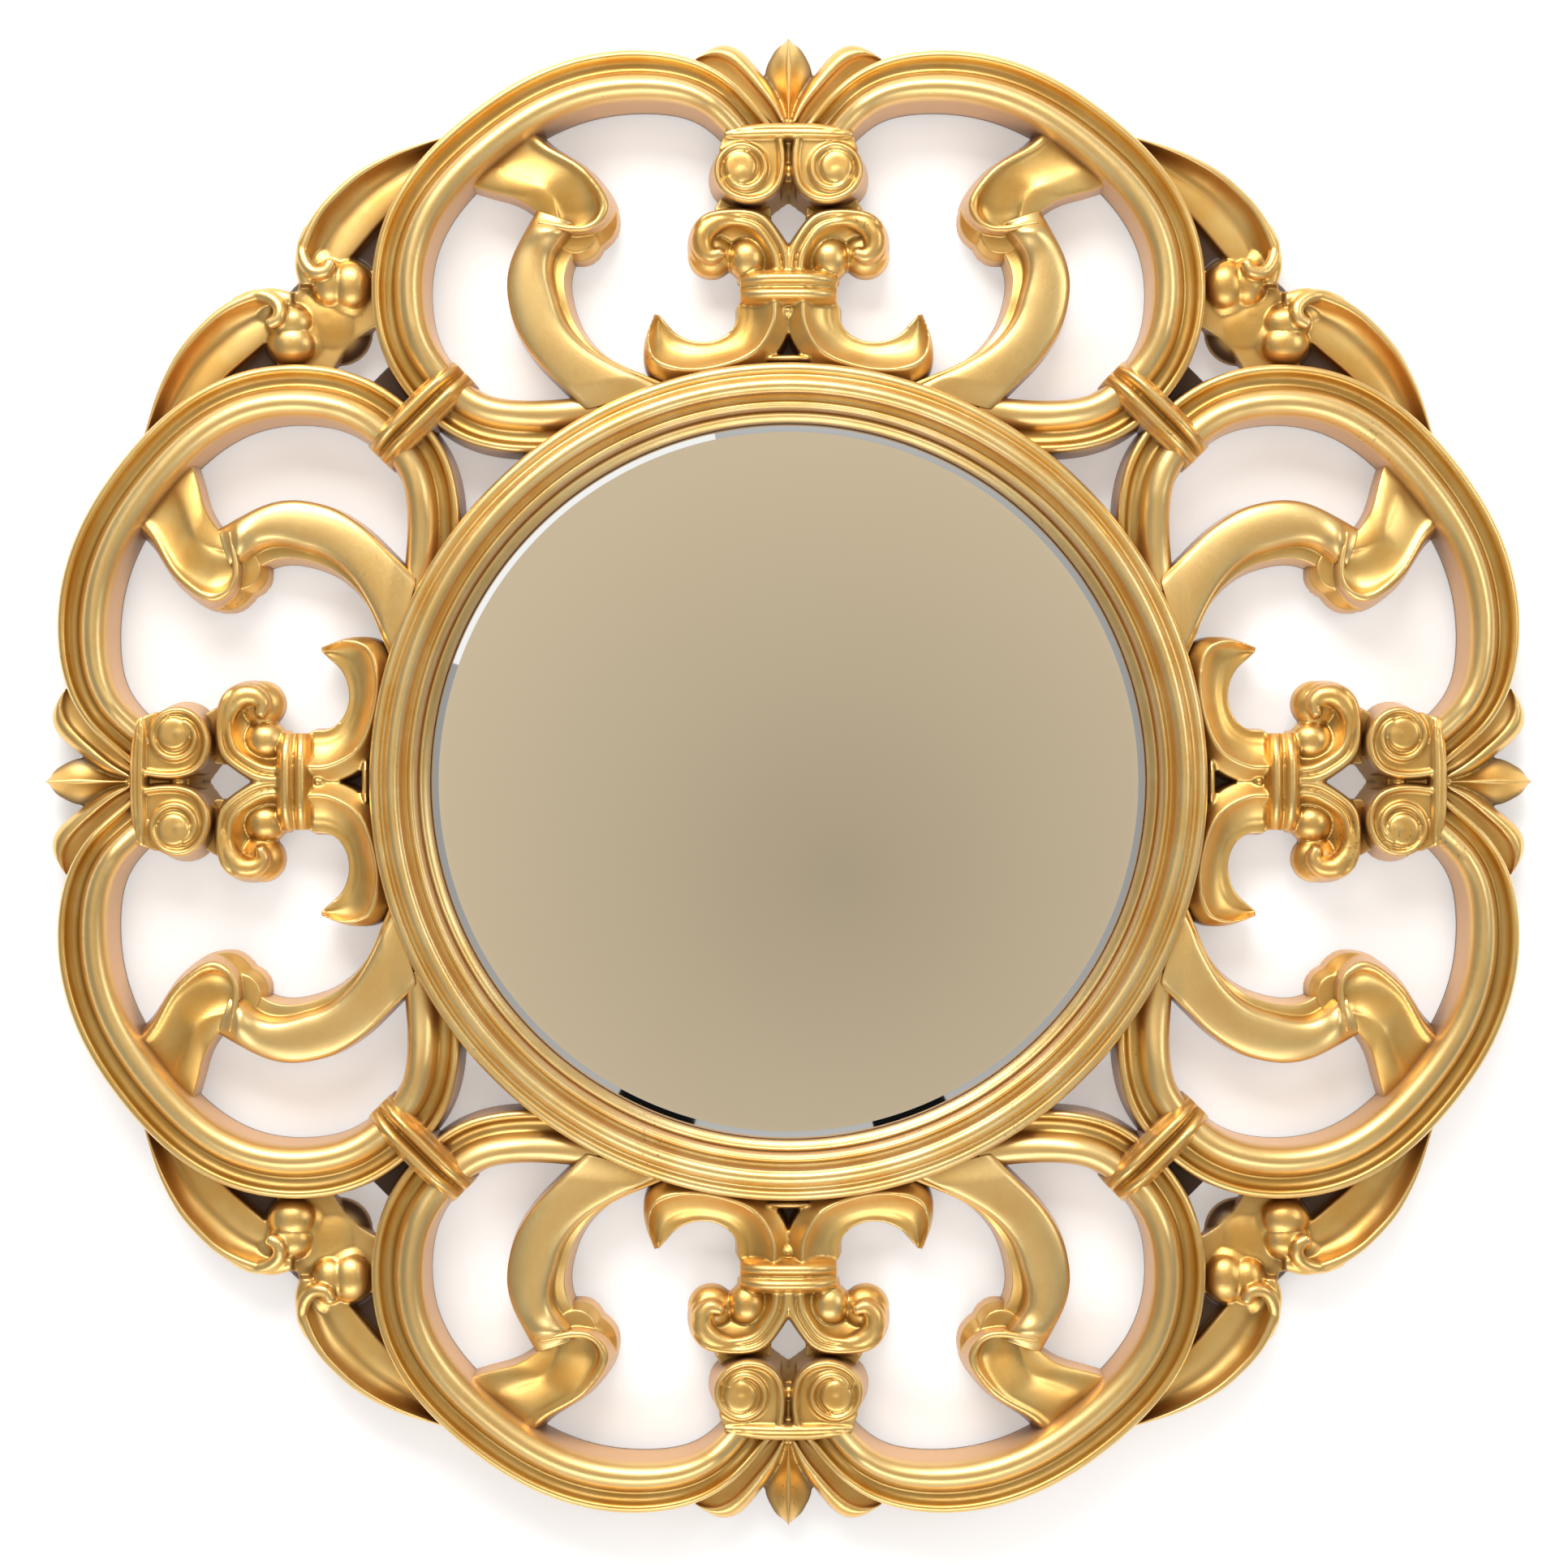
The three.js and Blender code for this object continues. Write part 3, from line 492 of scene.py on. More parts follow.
def fused(name, shape, grain, passes=5):
    """The overlapping skins of a carving as one skin, its joins softened by the cutting grain."""
    block = bpy.data.objects.new(name, mesh_from(name, shape))
    bpy.context.scene.collection.objects.link(block)
    remesh = block.modifiers.new("carve", "REMESH")
    remesh.mode = "VOXEL"
    remesh.voxel_size = grain * MM
    polish = block.modifiers.new("polish", "SMOOTH")
    polish.factor = 0.5
    polish.iterations = passes
    depsgraph = bpy.context.evaluated_depsgraph_get()
    made = block.evaluated_get(depsgraph).to_mesh()
    points = np.empty(len(made.vertices) * 3)
    made.vertices.foreach_get("co", points)
    corners = np.empty(len(made.loops), int)
    made.loops.foreach_get("vertex_index", corners)
    starts = np.empty(len(made.polygons), int)
    made.polygons.foreach_get("loop_start", starts)
    sizes = np.diff(np.append(starts, len(corners)))
    quads = corners[starts[sizes == 4][:, None] + np.arange(4)]
    triangles = corners[starts[sizes == 3][:, None] + np.arange(3)]
    block.evaluated_get(depsgraph).to_mesh_clear()
    old = block.data
    bpy.data.objects.remove(block)
    bpy.data.meshes.remove(old)
    x, y, z = points.reshape(-1, 3).T / MM
    return np.stack([x, z, -y], 1), quads, triangles


def relief(shape, reach=40):
    """How deep each point lies below its surroundings, in millimetres: above zero in hollows."""
    points, quads, triangles = shape
    ends = np.vstack([quads[:, [0, 1]], quads[:, [1, 2]], quads[:, [2, 3]], quads[:, [3, 0]]])
    if len(triangles):
        ends = np.vstack([ends, triangles[:, [0, 1]], triangles[:, [1, 2]], triangles[:, [2, 0]]])
    ends = np.vstack([ends, ends[:, ::-1]])
    degree = np.bincount(ends[:, 0], minlength=len(points)).astype(float)
    degree[degree == 0] = 1
    eased = points.copy()
    for _ in range(reach):
        total = np.stack([
            np.bincount(ends[:, 0], eased[ends[:, 1], k], len(points)) for k in range(3)
        ], 1)
        eased = 0.4 * eased + 0.6 * total / degree[:, None]
    return eased - points


def place(name, shape, node, slot, material, body="frame", reach=40, sharp=None):
    """Makes a piece of the mirror that stands for a solid of the frame. With a reach it has the
    hollows, tops and sides that gilding needs, and with a sharp angle its sharper edges stay crisp."""
    mesh = mesh_from(name, shape)
    mesh.polygons.foreach_set("use_smooth", np.ones(len(mesh.polygons), bool))
    if sharp:
        mesh.set_sharp_from_angle(angle=math.radians(sharp))
    if reach:
        normals = np.empty(len(mesh.vertices) * 3, np.float32)
        mesh.vertex_normals.foreach_get("vector", normals)
        normals = normals.reshape(-1, 3)
        ease = relief(shape, reach)
        ease = np.stack([ease[:, 0], -ease[:, 2], ease[:, 1]], 1)
        depth = np.einsum("ij,ij->i", ease, normals)
        facing = -normals[:, 1]
        values = {
            "hollow": smooth(0.08, 1.3, depth),
            # ridge: tops, which the gilding paints paler, partly as a highlight.
            "ridge": smooth(0.1, 1.4, -depth),
            "wall": 1 - smooth(0.12, 0.5, facing),
            "back": smooth(0.5, 0.8, -facing),
            # deep: low floors facing the front between the carvings, which the gilding paints dark as
            # shade.
            "deep": (1 - smooth(7, 12, shape[0][:, 2])) * smooth(0.3, 0.6, facing),
        }
        for key, value in values.items():
            attribute = mesh.attributes.new(key, "FLOAT", "POINT")
            attribute.data.foreach_set("value", value.astype(np.float32))
    mesh.materials.append(material)
    piece = bpy.data.objects.new(name, mesh)
    bpy.context.scene.collection.objects.link(piece)
    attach(piece, body)
    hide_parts(node)


def lifted(shape, level):
    """A skin pressed flat behind level, so that the backs of pieces that overlap lie apart. A trace
    of the depth stays, so that no two points meet."""
    points, quads, triangles = shape
    x, y, z = points.T
    return np.stack([x, y, np.where(z < level, level - TRACE * (level - z), z)], 1), quads, triangles


def place_eighths(name, shape, material, level):
    """Puts a piece to the right and left of the middle of every side, its back at level."""
    shape = lifted(shape, level)
    left = mirrored(shape)
    for side in range(SIDES):
        for number, form in ((2 * side + 1, shape), (2 * side or 8, left)):
            node = f"{name}_{number}"
            place(f"gilt_{node}", turned(form, 90 * side), node, "gilded_carving", material)


def place_sides(name, shape, material, level):
    """Puts a piece on every side, its back at level."""
    shape = lifted(shape, level)
    for side in range(SIDES):
        node = f"{name}_{side + 1}"
        place(f"gilt_{node}", turned(shape, 90 * side), node, "gilded_carving", material)


# ---- Materials ------------------------------------------------------------------------------------


def add_node(tree, kind, inputs=None, **settings):
    """Adds a node with its own settings. An input is a value, an output or a node, of which the first
    output in use is taken."""
    made = tree.nodes.new("ShaderNode" + kind)
    for name, value in settings.items():
        setattr(made, name, value)
    for name, value in (inputs or {}).items():
        socket = made.inputs[name]
        if isinstance(value, bpy.types.Node):
            value = next(output for output in value.outputs if output.enabled)
        if isinstance(value, bpy.types.NodeSocket):
            tree.links.new(value, socket)
        else:
            socket.default_value = (*value, 1) if socket.type == "RGBA" else value
    return made


def new_material(name):
    """An empty node material, and the function that adds nodes to it."""
    found = bpy.data.materials.get(name)
    if found:
        bpy.data.materials.remove(found)
    material = bpy.data.materials.new(name)
    material.use_nodes = True
    material.node_tree.nodes.clear()
    return material, partial(add_node, material.node_tree)


def per_metre(size_mm):
    """Noise scale whose features are about size_mm across."""
    return 1 / (size_mm * MM)


def gilding(name, settings, paler=False):
    """Water gilding: burnished gold leaf over red bole and gesso, under a thin tinted varnish. The
    eye sees a warm satin metal, deeper in the hollows where the tinted varnish gathers and where
    shade is painted in, with paler leaf painted on the tops as a highlight, a pinkish ochre on the
    sides where the leaf thins out, painted shade on the sides and floors shut in between the
    carvings, small umber specks and a bare painted back. The turned ring has paler leaf, a painted
    highlight for the broad light on its turned faces, and half as much varnish and painted shade."""
    pale, deep = settings.leaf_pale, settings.leaf_deep
    toning_and_shade = settings.toning_and_shade_strength
    # The ring's leaf is painted paler as a highlight for the broad light on its turned faces, with half the
    # painted shade.
    if paler:
        pale, deep, toning_and_shade = settings.leaf_rubbed_highlight, settings.leaf_pale, toning_and_shade * 0.5
    material, add = new_material(name)
    place_in = add("TexCoord").outputs["Object"]
    read = {
        key: add("Attribute", attribute_name=key).outputs["Fac"]
        for key in ("hollow", "ridge", "wall", "back", "deep")
    }
    # Sheets of leaf differ a little in colour; they are laid in pieces of 20 to 40 mm.
    sheets = add("TexNoise", {
        "Vector": place_in, "Scale": per_metre(34), "Detail": 3.0, "Roughness": 0.55,
    })
    sheet_mask = add("MapRange", {
        "Value": sheets, "From Min": 0.36, "From Max": 0.66,
    }, interpolation_type="SMOOTHSTEP")
    leaf = add("Mix", {0: sheet_mask, 6: pale, 7: deep}, data_type="RGBA")
    # Toning varnish and dust gather in hollows and in the gaps between the carvings, some 30 mm deep, and
    # painted shade darkens the same hollows and gaps where light is shut out.
    open_air = add("AmbientOcclusion", {"Distance": 30 * MM}, samples=6)
    occlusion_shade = add("MapRange", {
        "Value": open_air.outputs["AO"], "From Min": 0.82, "From Max": 0.28, "To Max": 1.0,
    }, interpolation_type="SMOOTHSTEP")
    shade_in_hollows = add("Math", {0: read["hollow"], 1: occlusion_shade}, operation="ADD", use_clamp=True)
    hollow = add("Math", {0: shade_in_hollows, 1: toning_and_shade}, operation="MULTIPLY", use_clamp=True)
    toned = add("Mix", {0: hollow, 6: leaf, 7: settings.toning_and_shade}, data_type="RGBA")
    # Rubbed tops show brighter, freshly burnished leaf, and this paler leaf on the ridges is also a painted
    # highlight.
    rubbed = add("Math", {
        0: read["ridge"], 1: settings.rub_highlight_strength,
    }, operation="MULTIPLY", use_clamp=True)
    burnished = add("Mix", {0: rubbed, 6: toned, 7: settings.leaf_rubbed_highlight}, data_type="RGBA")
    # Fly specks of umber wax, about a millimetre across and sparse.
    specks = add("TexNoise", {
        "Vector": place_in, "Scale": per_metre(2.2), "Detail": 2.0, "Roughness": 0.5,
    })
    speck_zones = add("TexNoise", {"Vector": place_in, "Scale": per_metre(60), "Detail": 1.0})
    speck_sum = add("Math", {0: specks, 1: speck_zones}, operation="ADD")
    speck_mask = add("MapRange", {
        "Value": speck_sum, "From Min": 1.33, "From Max": 1.45, "To Max": 0.5,
    }, interpolation_type="SMOOTHSTEP")
    specked = add("Mix", {0: speck_mask, 6: burnished, 7: settings.wax}, data_type="RGBA")
    # Painted shade: side walls shut in between the carvings get a dark umber wash instead of the ochre.
    shaded_side = add("Mix", {
        0: occlusion_shade, 6: settings.side_wash, 7: settings.deep_shade_wash,
    }, data_type="RGBA")
    sided = add("Mix", {0: read["wall"], 6: specked, 7: shaded_side}, data_type="RGBA")
    # The floors of the recesses, low between the carvings, are painted dark umber and dull as shade.
    floored_shade = add("Mix", {0: read["deep"], 6: sided, 7: settings.recess_shade}, data_type="RGBA")
    backed = add("Mix", {0: read["back"], 6: floored_shade, 7: settings.back_paint}, data_type="RGBA")
    # Satin of the burnisher's strokes, about 1 mm apart, and the softer waves of hand-cut gesso.
    strokes = add("TexNoise", {
        "Vector": place_in, "Scale": per_metre(1.1), "Detail": 3.0, "Roughness": 0.6,
    })
    waves = add("TexNoise", {"Vector": place_in, "Scale": per_metre(14), "Detail": 1.0})
    rough = add("MapRange", {
        "Value": strokes, "From Min": 0.3, "From Max": 0.7,
        "To Min": settings.roughness - 0.05, "To Max": settings.roughness + 0.07,
    })
    rough_side = add("Mix", {0: read["wall"], 2: rough, 3: 0.5}, data_type="FLOAT")
    # The painted back, and the floors painted as shade, carry no leaf.
    back_and_shaded_floor = add("Math", {0: read["back"], 1: read["deep"]}, operation="MAXIMUM")
    rough_back = add("Mix", {0: back_and_shaded_floor, 2: rough_side, 3: 0.75}, data_type="FLOAT")
    metal_side = add("MapRange", {"Value": read["wall"], "To Min": 1.0, "To Max": 0.45})
    bare = add("Math", {0: 1.0, 1: back_and_shaded_floor}, operation="SUBTRACT")
    metal = add("Math", {0: metal_side, 1: bare}, operation="MULTIPLY")
    wavy = add("Bump", {"Height": waves, "Strength": 0.25, "Distance": 0.35 * MM})
    satin = add("Bump", {"Height": strokes, "Strength": 0.18, "Distance": 0.05 * MM, "Normal": wavy})
    shader = add("BsdfPrincipled", {
        "Base Color": backed, "Metallic": metal,
        "Roughness": rough_back, "Normal": satin,
        "Coat Weight": 0.5, "Coat Roughness": 0.28, "Coat IOR": 1.5,
    })
    add("OutputMaterial", {"Surface": shader})
    return material


def silvered_glass(settings):
    """Silvered float glass, polished: a clear, nearly neutral reflection with the faintest ripple
    of the drawn sheet, about 90 mm from crest to crest."""
    material, add = new_material("silvered_glass_polished")
    place_in = add("TexCoord").outputs["Object"]
    ripple = add("TexNoise", {"Vector": place_in, "Scale": per_metre(90), "Detail": 0.0})
    haze = add("TexNoise", {"Vector": place_in, "Scale": per_metre(160), "Detail": 2.0})
    rough = add("MapRange", {
        "Value": haze, "From Min": 0.3, "From Max": 0.7,
        "To Min": 0.012, "To Max": 0.03,
    })
    relief_bump = add("Bump", {"Height": ripple, "Strength": 0.1, "Distance": 0.4 * MM})
    tint = add("Mix", {0: haze, 6: settings.silver_cool, 7: settings.silver_warm}, data_type="RGBA")
    shader = add("BsdfPrincipled", {
        "Base Color": tint, "Metallic": 1.0, "Roughness": rough,
        "Normal": relief_bump,
    })
    add("OutputMaterial", {"Surface": shader})
    return material


def pressed_hardboard(settings):
    """Hardboard: brown pressed wood fibre, its rough screen side out, so the eye sees a dull
    matted surface with fibres 2 to 5 mm long and a mesh print 1.4 mm apart."""
    material, add = new_material("pressed_hardboard")
    place_in = add("TexCoord").outputs["Object"]
    fibres = add("TexNoise", {
        "Vector": place_in, "Scale": per_metre(3.5), "Detail": 6.0, "Roughness": 0.7,
        "Distortion": 1.2,
    })
    stains = add("TexNoise", {"Vector": place_in, "Scale": per_metre(120), "Detail": 3.0})
    print_waves = [
        add("TexWave", {
            "Vector": place_in, "Scale": per_metre(1.4) / 20, "Distortion": 0.4,
        }, wave_type="BANDS", bands_direction=axis)
        for axis in ("X", "Z")
    ]
    weave = add("Math", {
        0: print_waves[0].outputs["Fac"], 1: print_waves[1].outputs["Fac"],
    }, operation="MULTIPLY")
    matted = add("Mix", {0: fibres, 6: settings.board_dark, 7: settings.board_light}, data_type="RGBA")
    aged = add("Mix", {0: stains, 6: matted, 7: settings.board_dark}, data_type="RGBA")
    pressed = add("Math", {0: fibres, 1: weave}, operation="ADD")
    rise = add("Bump", {"Height": pressed, "Strength": 0.5, "Distance": 0.2 * MM})
    shader = add("BsdfPrincipled", {"Base Color": aged, "Roughness": 0.82, "Normal": rise})
    add("OutputMaterial", {"Surface": shader})
    return material


def zinc_plated_steel(settings):
    """Bright zinc plate on pressed steel: bluish grey metal, faintly clouded, with fine drawing
    lines about 0.8 mm apart and a trace of white bloom."""
    material, add = new_material("zinc_plated_steel")
    place_in = add("TexCoord").outputs["Object"]
    clouds = add("TexNoise", {"Vector": place_in, "Scale": per_metre(6), "Detail": 4.0})
    lines = add("TexNoise", {"Vector": place_in, "Scale": per_metre(0.8), "Detail": 2.0})
    colour = add("Mix", {0: clouds, 6: settings.zinc_bright, 7: settings.zinc_dull}, data_type="RGBA")
    rough = add("MapRange", {
        "Value": clouds, "From Min": 0.3, "From Max": 0.7,
        "To Min": 0.26, "To Max": 0.42,
    })
    scratch = add("Bump", {"Height": lines, "Strength": 0.15, "Distance": 0.03 * MM})
    shader = add("BsdfPrincipled", {
        "Base Color": colour, "Metallic": 1.0, "Roughness": rough,
        "Normal": scratch,
    })
    add("OutputMaterial", {"Surface": shader})
    return material


# ---- Settings a user would change -----------------------------------------------------------------


def colour_field(name, description, hex_colour):
    return bpy.props.FloatVectorProperty(
        name=name, description=description, subtype="COLOR", size=3, min=0, max=1,
        default=linear(hex_colour))


def length_field(name, description, size_mm):
    return bpy.props.FloatProperty(
        name=name, description=description, unit="LENGTH", subtype="DISTANCE", min=0,
        precision=4, default=size_mm * MM)


def share_field(name, description, value):
    return bpy.props.FloatProperty(
        name=name, description=description, subtype="FACTOR", min=0, max=1, default=value)


def power_field(name, description, watts):
    return bpy.props.FloatProperty(
        name=name, description=description, unit="POWER", min=0, default=watts)


class GildingSettings(bpy.types.PropertyGroup):
    leaf_pale: colour_field("Pale leaf", "Colour of the paler sheets of gold leaf", "#F4CC7C")
    leaf_deep: colour_field("Deep leaf", "Colour of the deeper sheets of gold leaf", "#ECB85F")
    # Paler leaf on rubbed tops, also a painted highlight; the ring uses it as its pale leaf.
    leaf_rubbed_highlight: colour_field("Rubbed leaf", "Colour of the leaf on rubbed tops", "#FBDD9B")
    # Toning colour, also painted into hollows and gaps as shade.
    toning_and_shade: colour_field("Toning", "Varnish colour that gathers in hollows", "#98732F")
    wax: colour_field("Wax", "Colour of the umber specks", "#7A5A2C")
    side_wash: colour_field("Side wash", "Ochre wash on the side walls", "#DDAC76")
    # Painted shade on side walls shut in between the carvings.
    deep_shade_wash: colour_field("Deep wash", "Umber wash deep between the carvings", "#7A4C1E")
    # Painted shade on the floors of the recesses.
    recess_shade: colour_field("Recess", "Umber on the floors of the recesses", "#4A2F16")
    back_paint: colour_field("Back paint", "Paint on the unseen back", "#6A4A2E")
    # How dark the toning and the painted shade in hollows and gaps are.
    toning_and_shade_strength: share_field("Toning strength", "How dark the hollows are toned", 0.6)
    # How bright the painted highlight on rubbed tops is.
    rub_highlight_strength: share_field("Rub strength", "How bright the rubbed tops are", 0.6)
    roughness: share_field("Roughness", "Roughness of the burnished leaf", 0.36)


class CarvingSettings(bpy.types.PropertyGroup):
    edge_radius: length_field("Edge radius", "How far the gesso rounds every edge", 0.55)
    grain: length_field("Carving grain", "Fineness of the fused carvings", 0.9)


class GlassSettings(bpy.types.PropertyGroup):
    rise: length_field("Rise", "Height of the dome above its rim", 12)
    bevel_width: length_field("Bevel width", "Width of the ground bevel", 12.7)
    silver_cool: colour_field("Cool silver", "Cooler tint of the silvering", "#EEEFEE")
    silver_warm: colour_field("Warm silver", "Warmer tint of the silvering", "#EDEBE6")


class FittingSettings(bpy.types.PropertyGroup):
    board_light: colour_field("Light fibre", "Lighter fibres of the board", "#8A6440")
    board_dark: colour_field("Dark fibre", "Darker fibres of the board", "#5A3D25")
    zinc_bright: colour_field("Bright zinc", "Bright parts of the zinc plate", "#CDD0D3")
    zinc_dull: colour_field("Dull zinc", "Clouded parts of the zinc plate", "#A9ADB2")


class StudioSettings(bpy.types.PropertyGroup):
    wall: colour_field("Wall", "Colour of the wall behind the mirror", "#F6F6F7")
    floor: colour_field("Floor", "Colour of the floor", "#ECEAE6")
    room_light: colour_field("Room light", "Card that the glass reflects, bright end", "#D9C6A8")
    room_dark: colour_field("Room dark", "Card that the glass reflects, dark end", "#B6A78E")
    key_power: power_field("Key power", "Power of the large window light", 66)
    fill_power: power_field("Fill power", "Power of the soft light on the right", 14)
    low_power: power_field("Low power", "Power of the soft light low in front", 22)
    back_power: power_field("Back power", "Power of the soft light behind", 26)


class MirrorSettings(bpy.types.PropertyGroup):
    gilding: bpy.props.PointerProperty(type=GildingSettings, name="Gilding")
    carving: bpy.props.PointerProperty(type=CarvingSettings, name="Carving")
    glass: bpy.props.PointerProperty(type=GlassSettings, name="Glass")
    fittings: bpy.props.PointerProperty(type=FittingSettings, name="Fittings")
    studio: bpy.props.PointerProperty(type=StudioSettings, name="Studio")


def carving_gilt(context):
    """The gilding that all carved pieces share."""
    found = bpy.data.materials.get("gold_leaf_on_carving")
    return found or gilding("gold_leaf_on_carving", context.scene.mirror.gilding)


# ---- Shapes of the carving ------------------------------------------------------------------------


def c_scroll_shape(edge):
    """The large C-scroll: an outer bead, a hollow, and a broad round that falls to the inside."""
    count = 190
    line = np.asarray(SCROLL_LINE, float)
    a, b = astride(polar(line), line[:, 2], count, 6)
    upper = [(0, 0.74, 0.04), (0.15, 0.78, 0), (0.18, 0.73, -0.05), (0.41, 0.68, 0.27), (1, 0.74, 0)]
    tail = [(0, 0.76, 0.05), (0.15, 0.78, 0), (0.18, 0.70, -0.06), (0.43, 0.67, 0.23), (1, 0.74, 0)]
    shares, heights = changing([(0, upper), (0.7, upper), (0.8, tail), (1, tail)], count, 12)
    t = np.linspace(0, 1, count)
    depth = BAND_DEPTH * (1 - (1 - TAIL_SHARE) * smooth(0.66, 0.76, t))
    depth *= (0.80 + 0.20 * smooth(0, 0.07, t)) * (1 - 0.22 * smooth(0.86, 0.97, t))
    rows = softened(band_rows(a, b, shares, heights * depth[:, None], (2, 2)), edge)
    beyond = rows[..., 0] - rows[..., 1]
    rows[..., 0] -= np.maximum(beyond, 0) / 2
    rows[..., 1] += np.maximum(beyond, 0) / 2
    return skin(round_ends(rows, 1.0))


def hook_leaf_shape(edge, grain):
    """The short leaf inside each C-scroll: a scoop whose raised rim runs down its left side and
    round its tip as a lip."""
    count = 100
    a, b = between(polar(HOOK_LEFT), polar(HOOK_RIGHT), count, 3)
    rim = [(0, 0.86, 0.05), (0.11, 0.88, 0)]
    base = rim + [(0.15, 0.84, -0.03), (0.6, 0.82, 0.05), (1, 0.70, 0)]
    cup = rim + [(0.15, 0.78, -0.15), (0.75, 0.76, 0.02), (1, 0.68, 0)]
    end = rim + [(0.15, 0.74, -0.12), (0.75, 0.72, 0.02), (1, 0.68, 0)]
    shares, heights = changing([(0, base), (0.3, base), (0.72, cup), (1, end)], count, 12)
    t = np.linspace(0, 1, count)[:, None]
    z = heights * HOOK_DEPTH * (0.76 + 0.24 * smooth(0, 0.4, t))
    body = strip(a, b, shares, z, (5, 1.5), edge, 1.2)
    path = spline(polar(HOOK_LIP), 60)
    level = 0.83 * HOOK_DEPTH + 1.3 * np.sin(np.linspace(0.2, math.pi * 0.9, 60))
    radius = np.interp(np.linspace(0, 1, 60), (0, 0.3, 0.8, 1), (1.4, 2.1, 2.0, 1.3))
    lip = tube(np.column_stack([path, level]), radius)
    # The wall that carries the tip down to the back.
    roots = [stacked(discs, 60) for discs in HOOK_ROOTS]
    return fused("hook_leaf", gathered([body, lip, *roots]), grain * 0.85)


def inner_scroll_shape(edge):
    """The branch from under the leaf's lip down to the ring: a broad face with a ledge on its left
    that fades towards the foot."""
    count = 130
    a, b = between(polar(BRANCH_LEFT), polar(BRANCH_RIGHT), count, 5)
    top = [(0, 0.50, 0), (0.24, 0.52, -0.03), (0.36, 0.78, 0.12), (1, 0.72, 0)]
    middle = [(0, 0.62, 0), (0.13, 0.64, -0.02), (0.22, 0.82, 0.09), (1, 0.76, 0)]
    foot = [(0, 0.72, 0.01), (0.06, 0.76, 0), (0.12, 0.84, 0.06), (1, 0.80, 0)]
    shares, heights = changing([(0, top), (0.18, top), (0.45, middle), (0.8, foot), (1, foot)], count)
    t = np.linspace(0, 1, count)[:, None]
    swell = 0.09 * bump(0.10, 0.045, t) * bump(0.62, 0.2, shares)
    z = (heights + swell) * BRANCH_DEPTH * (0.9 + 0.1 * smooth(0.0, 0.1, t))
    return strip(a, b, shares, z * (1 - 0.07 * smooth(0.9, 1, t)), (3.5, 1.5), edge, 1.0)


def crest_shape(edge, grain):
    """Three leaves above the bar: two with a round back and a hollow, and a ribbed one between."""
    count = 70
    a, b = between(upright(CREST_OUTER), upright(CREST_INNER), count, 3)
    face = [(0, 0.52, 0.24), (0.45, 0.84, -0.03), (0.84, 0.74, 0.05), (1, 0.60, 0)]
    shares, heights = moulding(face, 12)
    t = np.linspace(0, 1, count)[:, None]
    leaf = strip(a, b, shares, heights * CREST_DEPTH * (1 - 0.18 * t), (1, 1), edge, 0.5)
    share, half = spline(BLADE_HALF_WIDTHS, count).T
    out = BLADE_FOOT + (BLADE_TIP - 0.4 - BLADE_FOOT) * share
    a, b = upright(np.stack([-half, out], 1)), upright(np.stack([half, out], 1))
    blade = [(0, 0.40, -0.05), (0.46, 0.80, 0.02), (0.54, 0.80, -0.05), (1, 0.40, 0)]
    shares, heights = moulding(blade)
    centre = skin(band_rows(a, b, shares, heights * CREST_DEPTH, (0.4, 0.4)))
    foot = slab(upright([(-9, 143), (9, 143), (7, 152), (-7, 152)]), 0, 12)
    return fused("crest", gathered([leaf, mirrored(leaf), centre, foot]), grain)


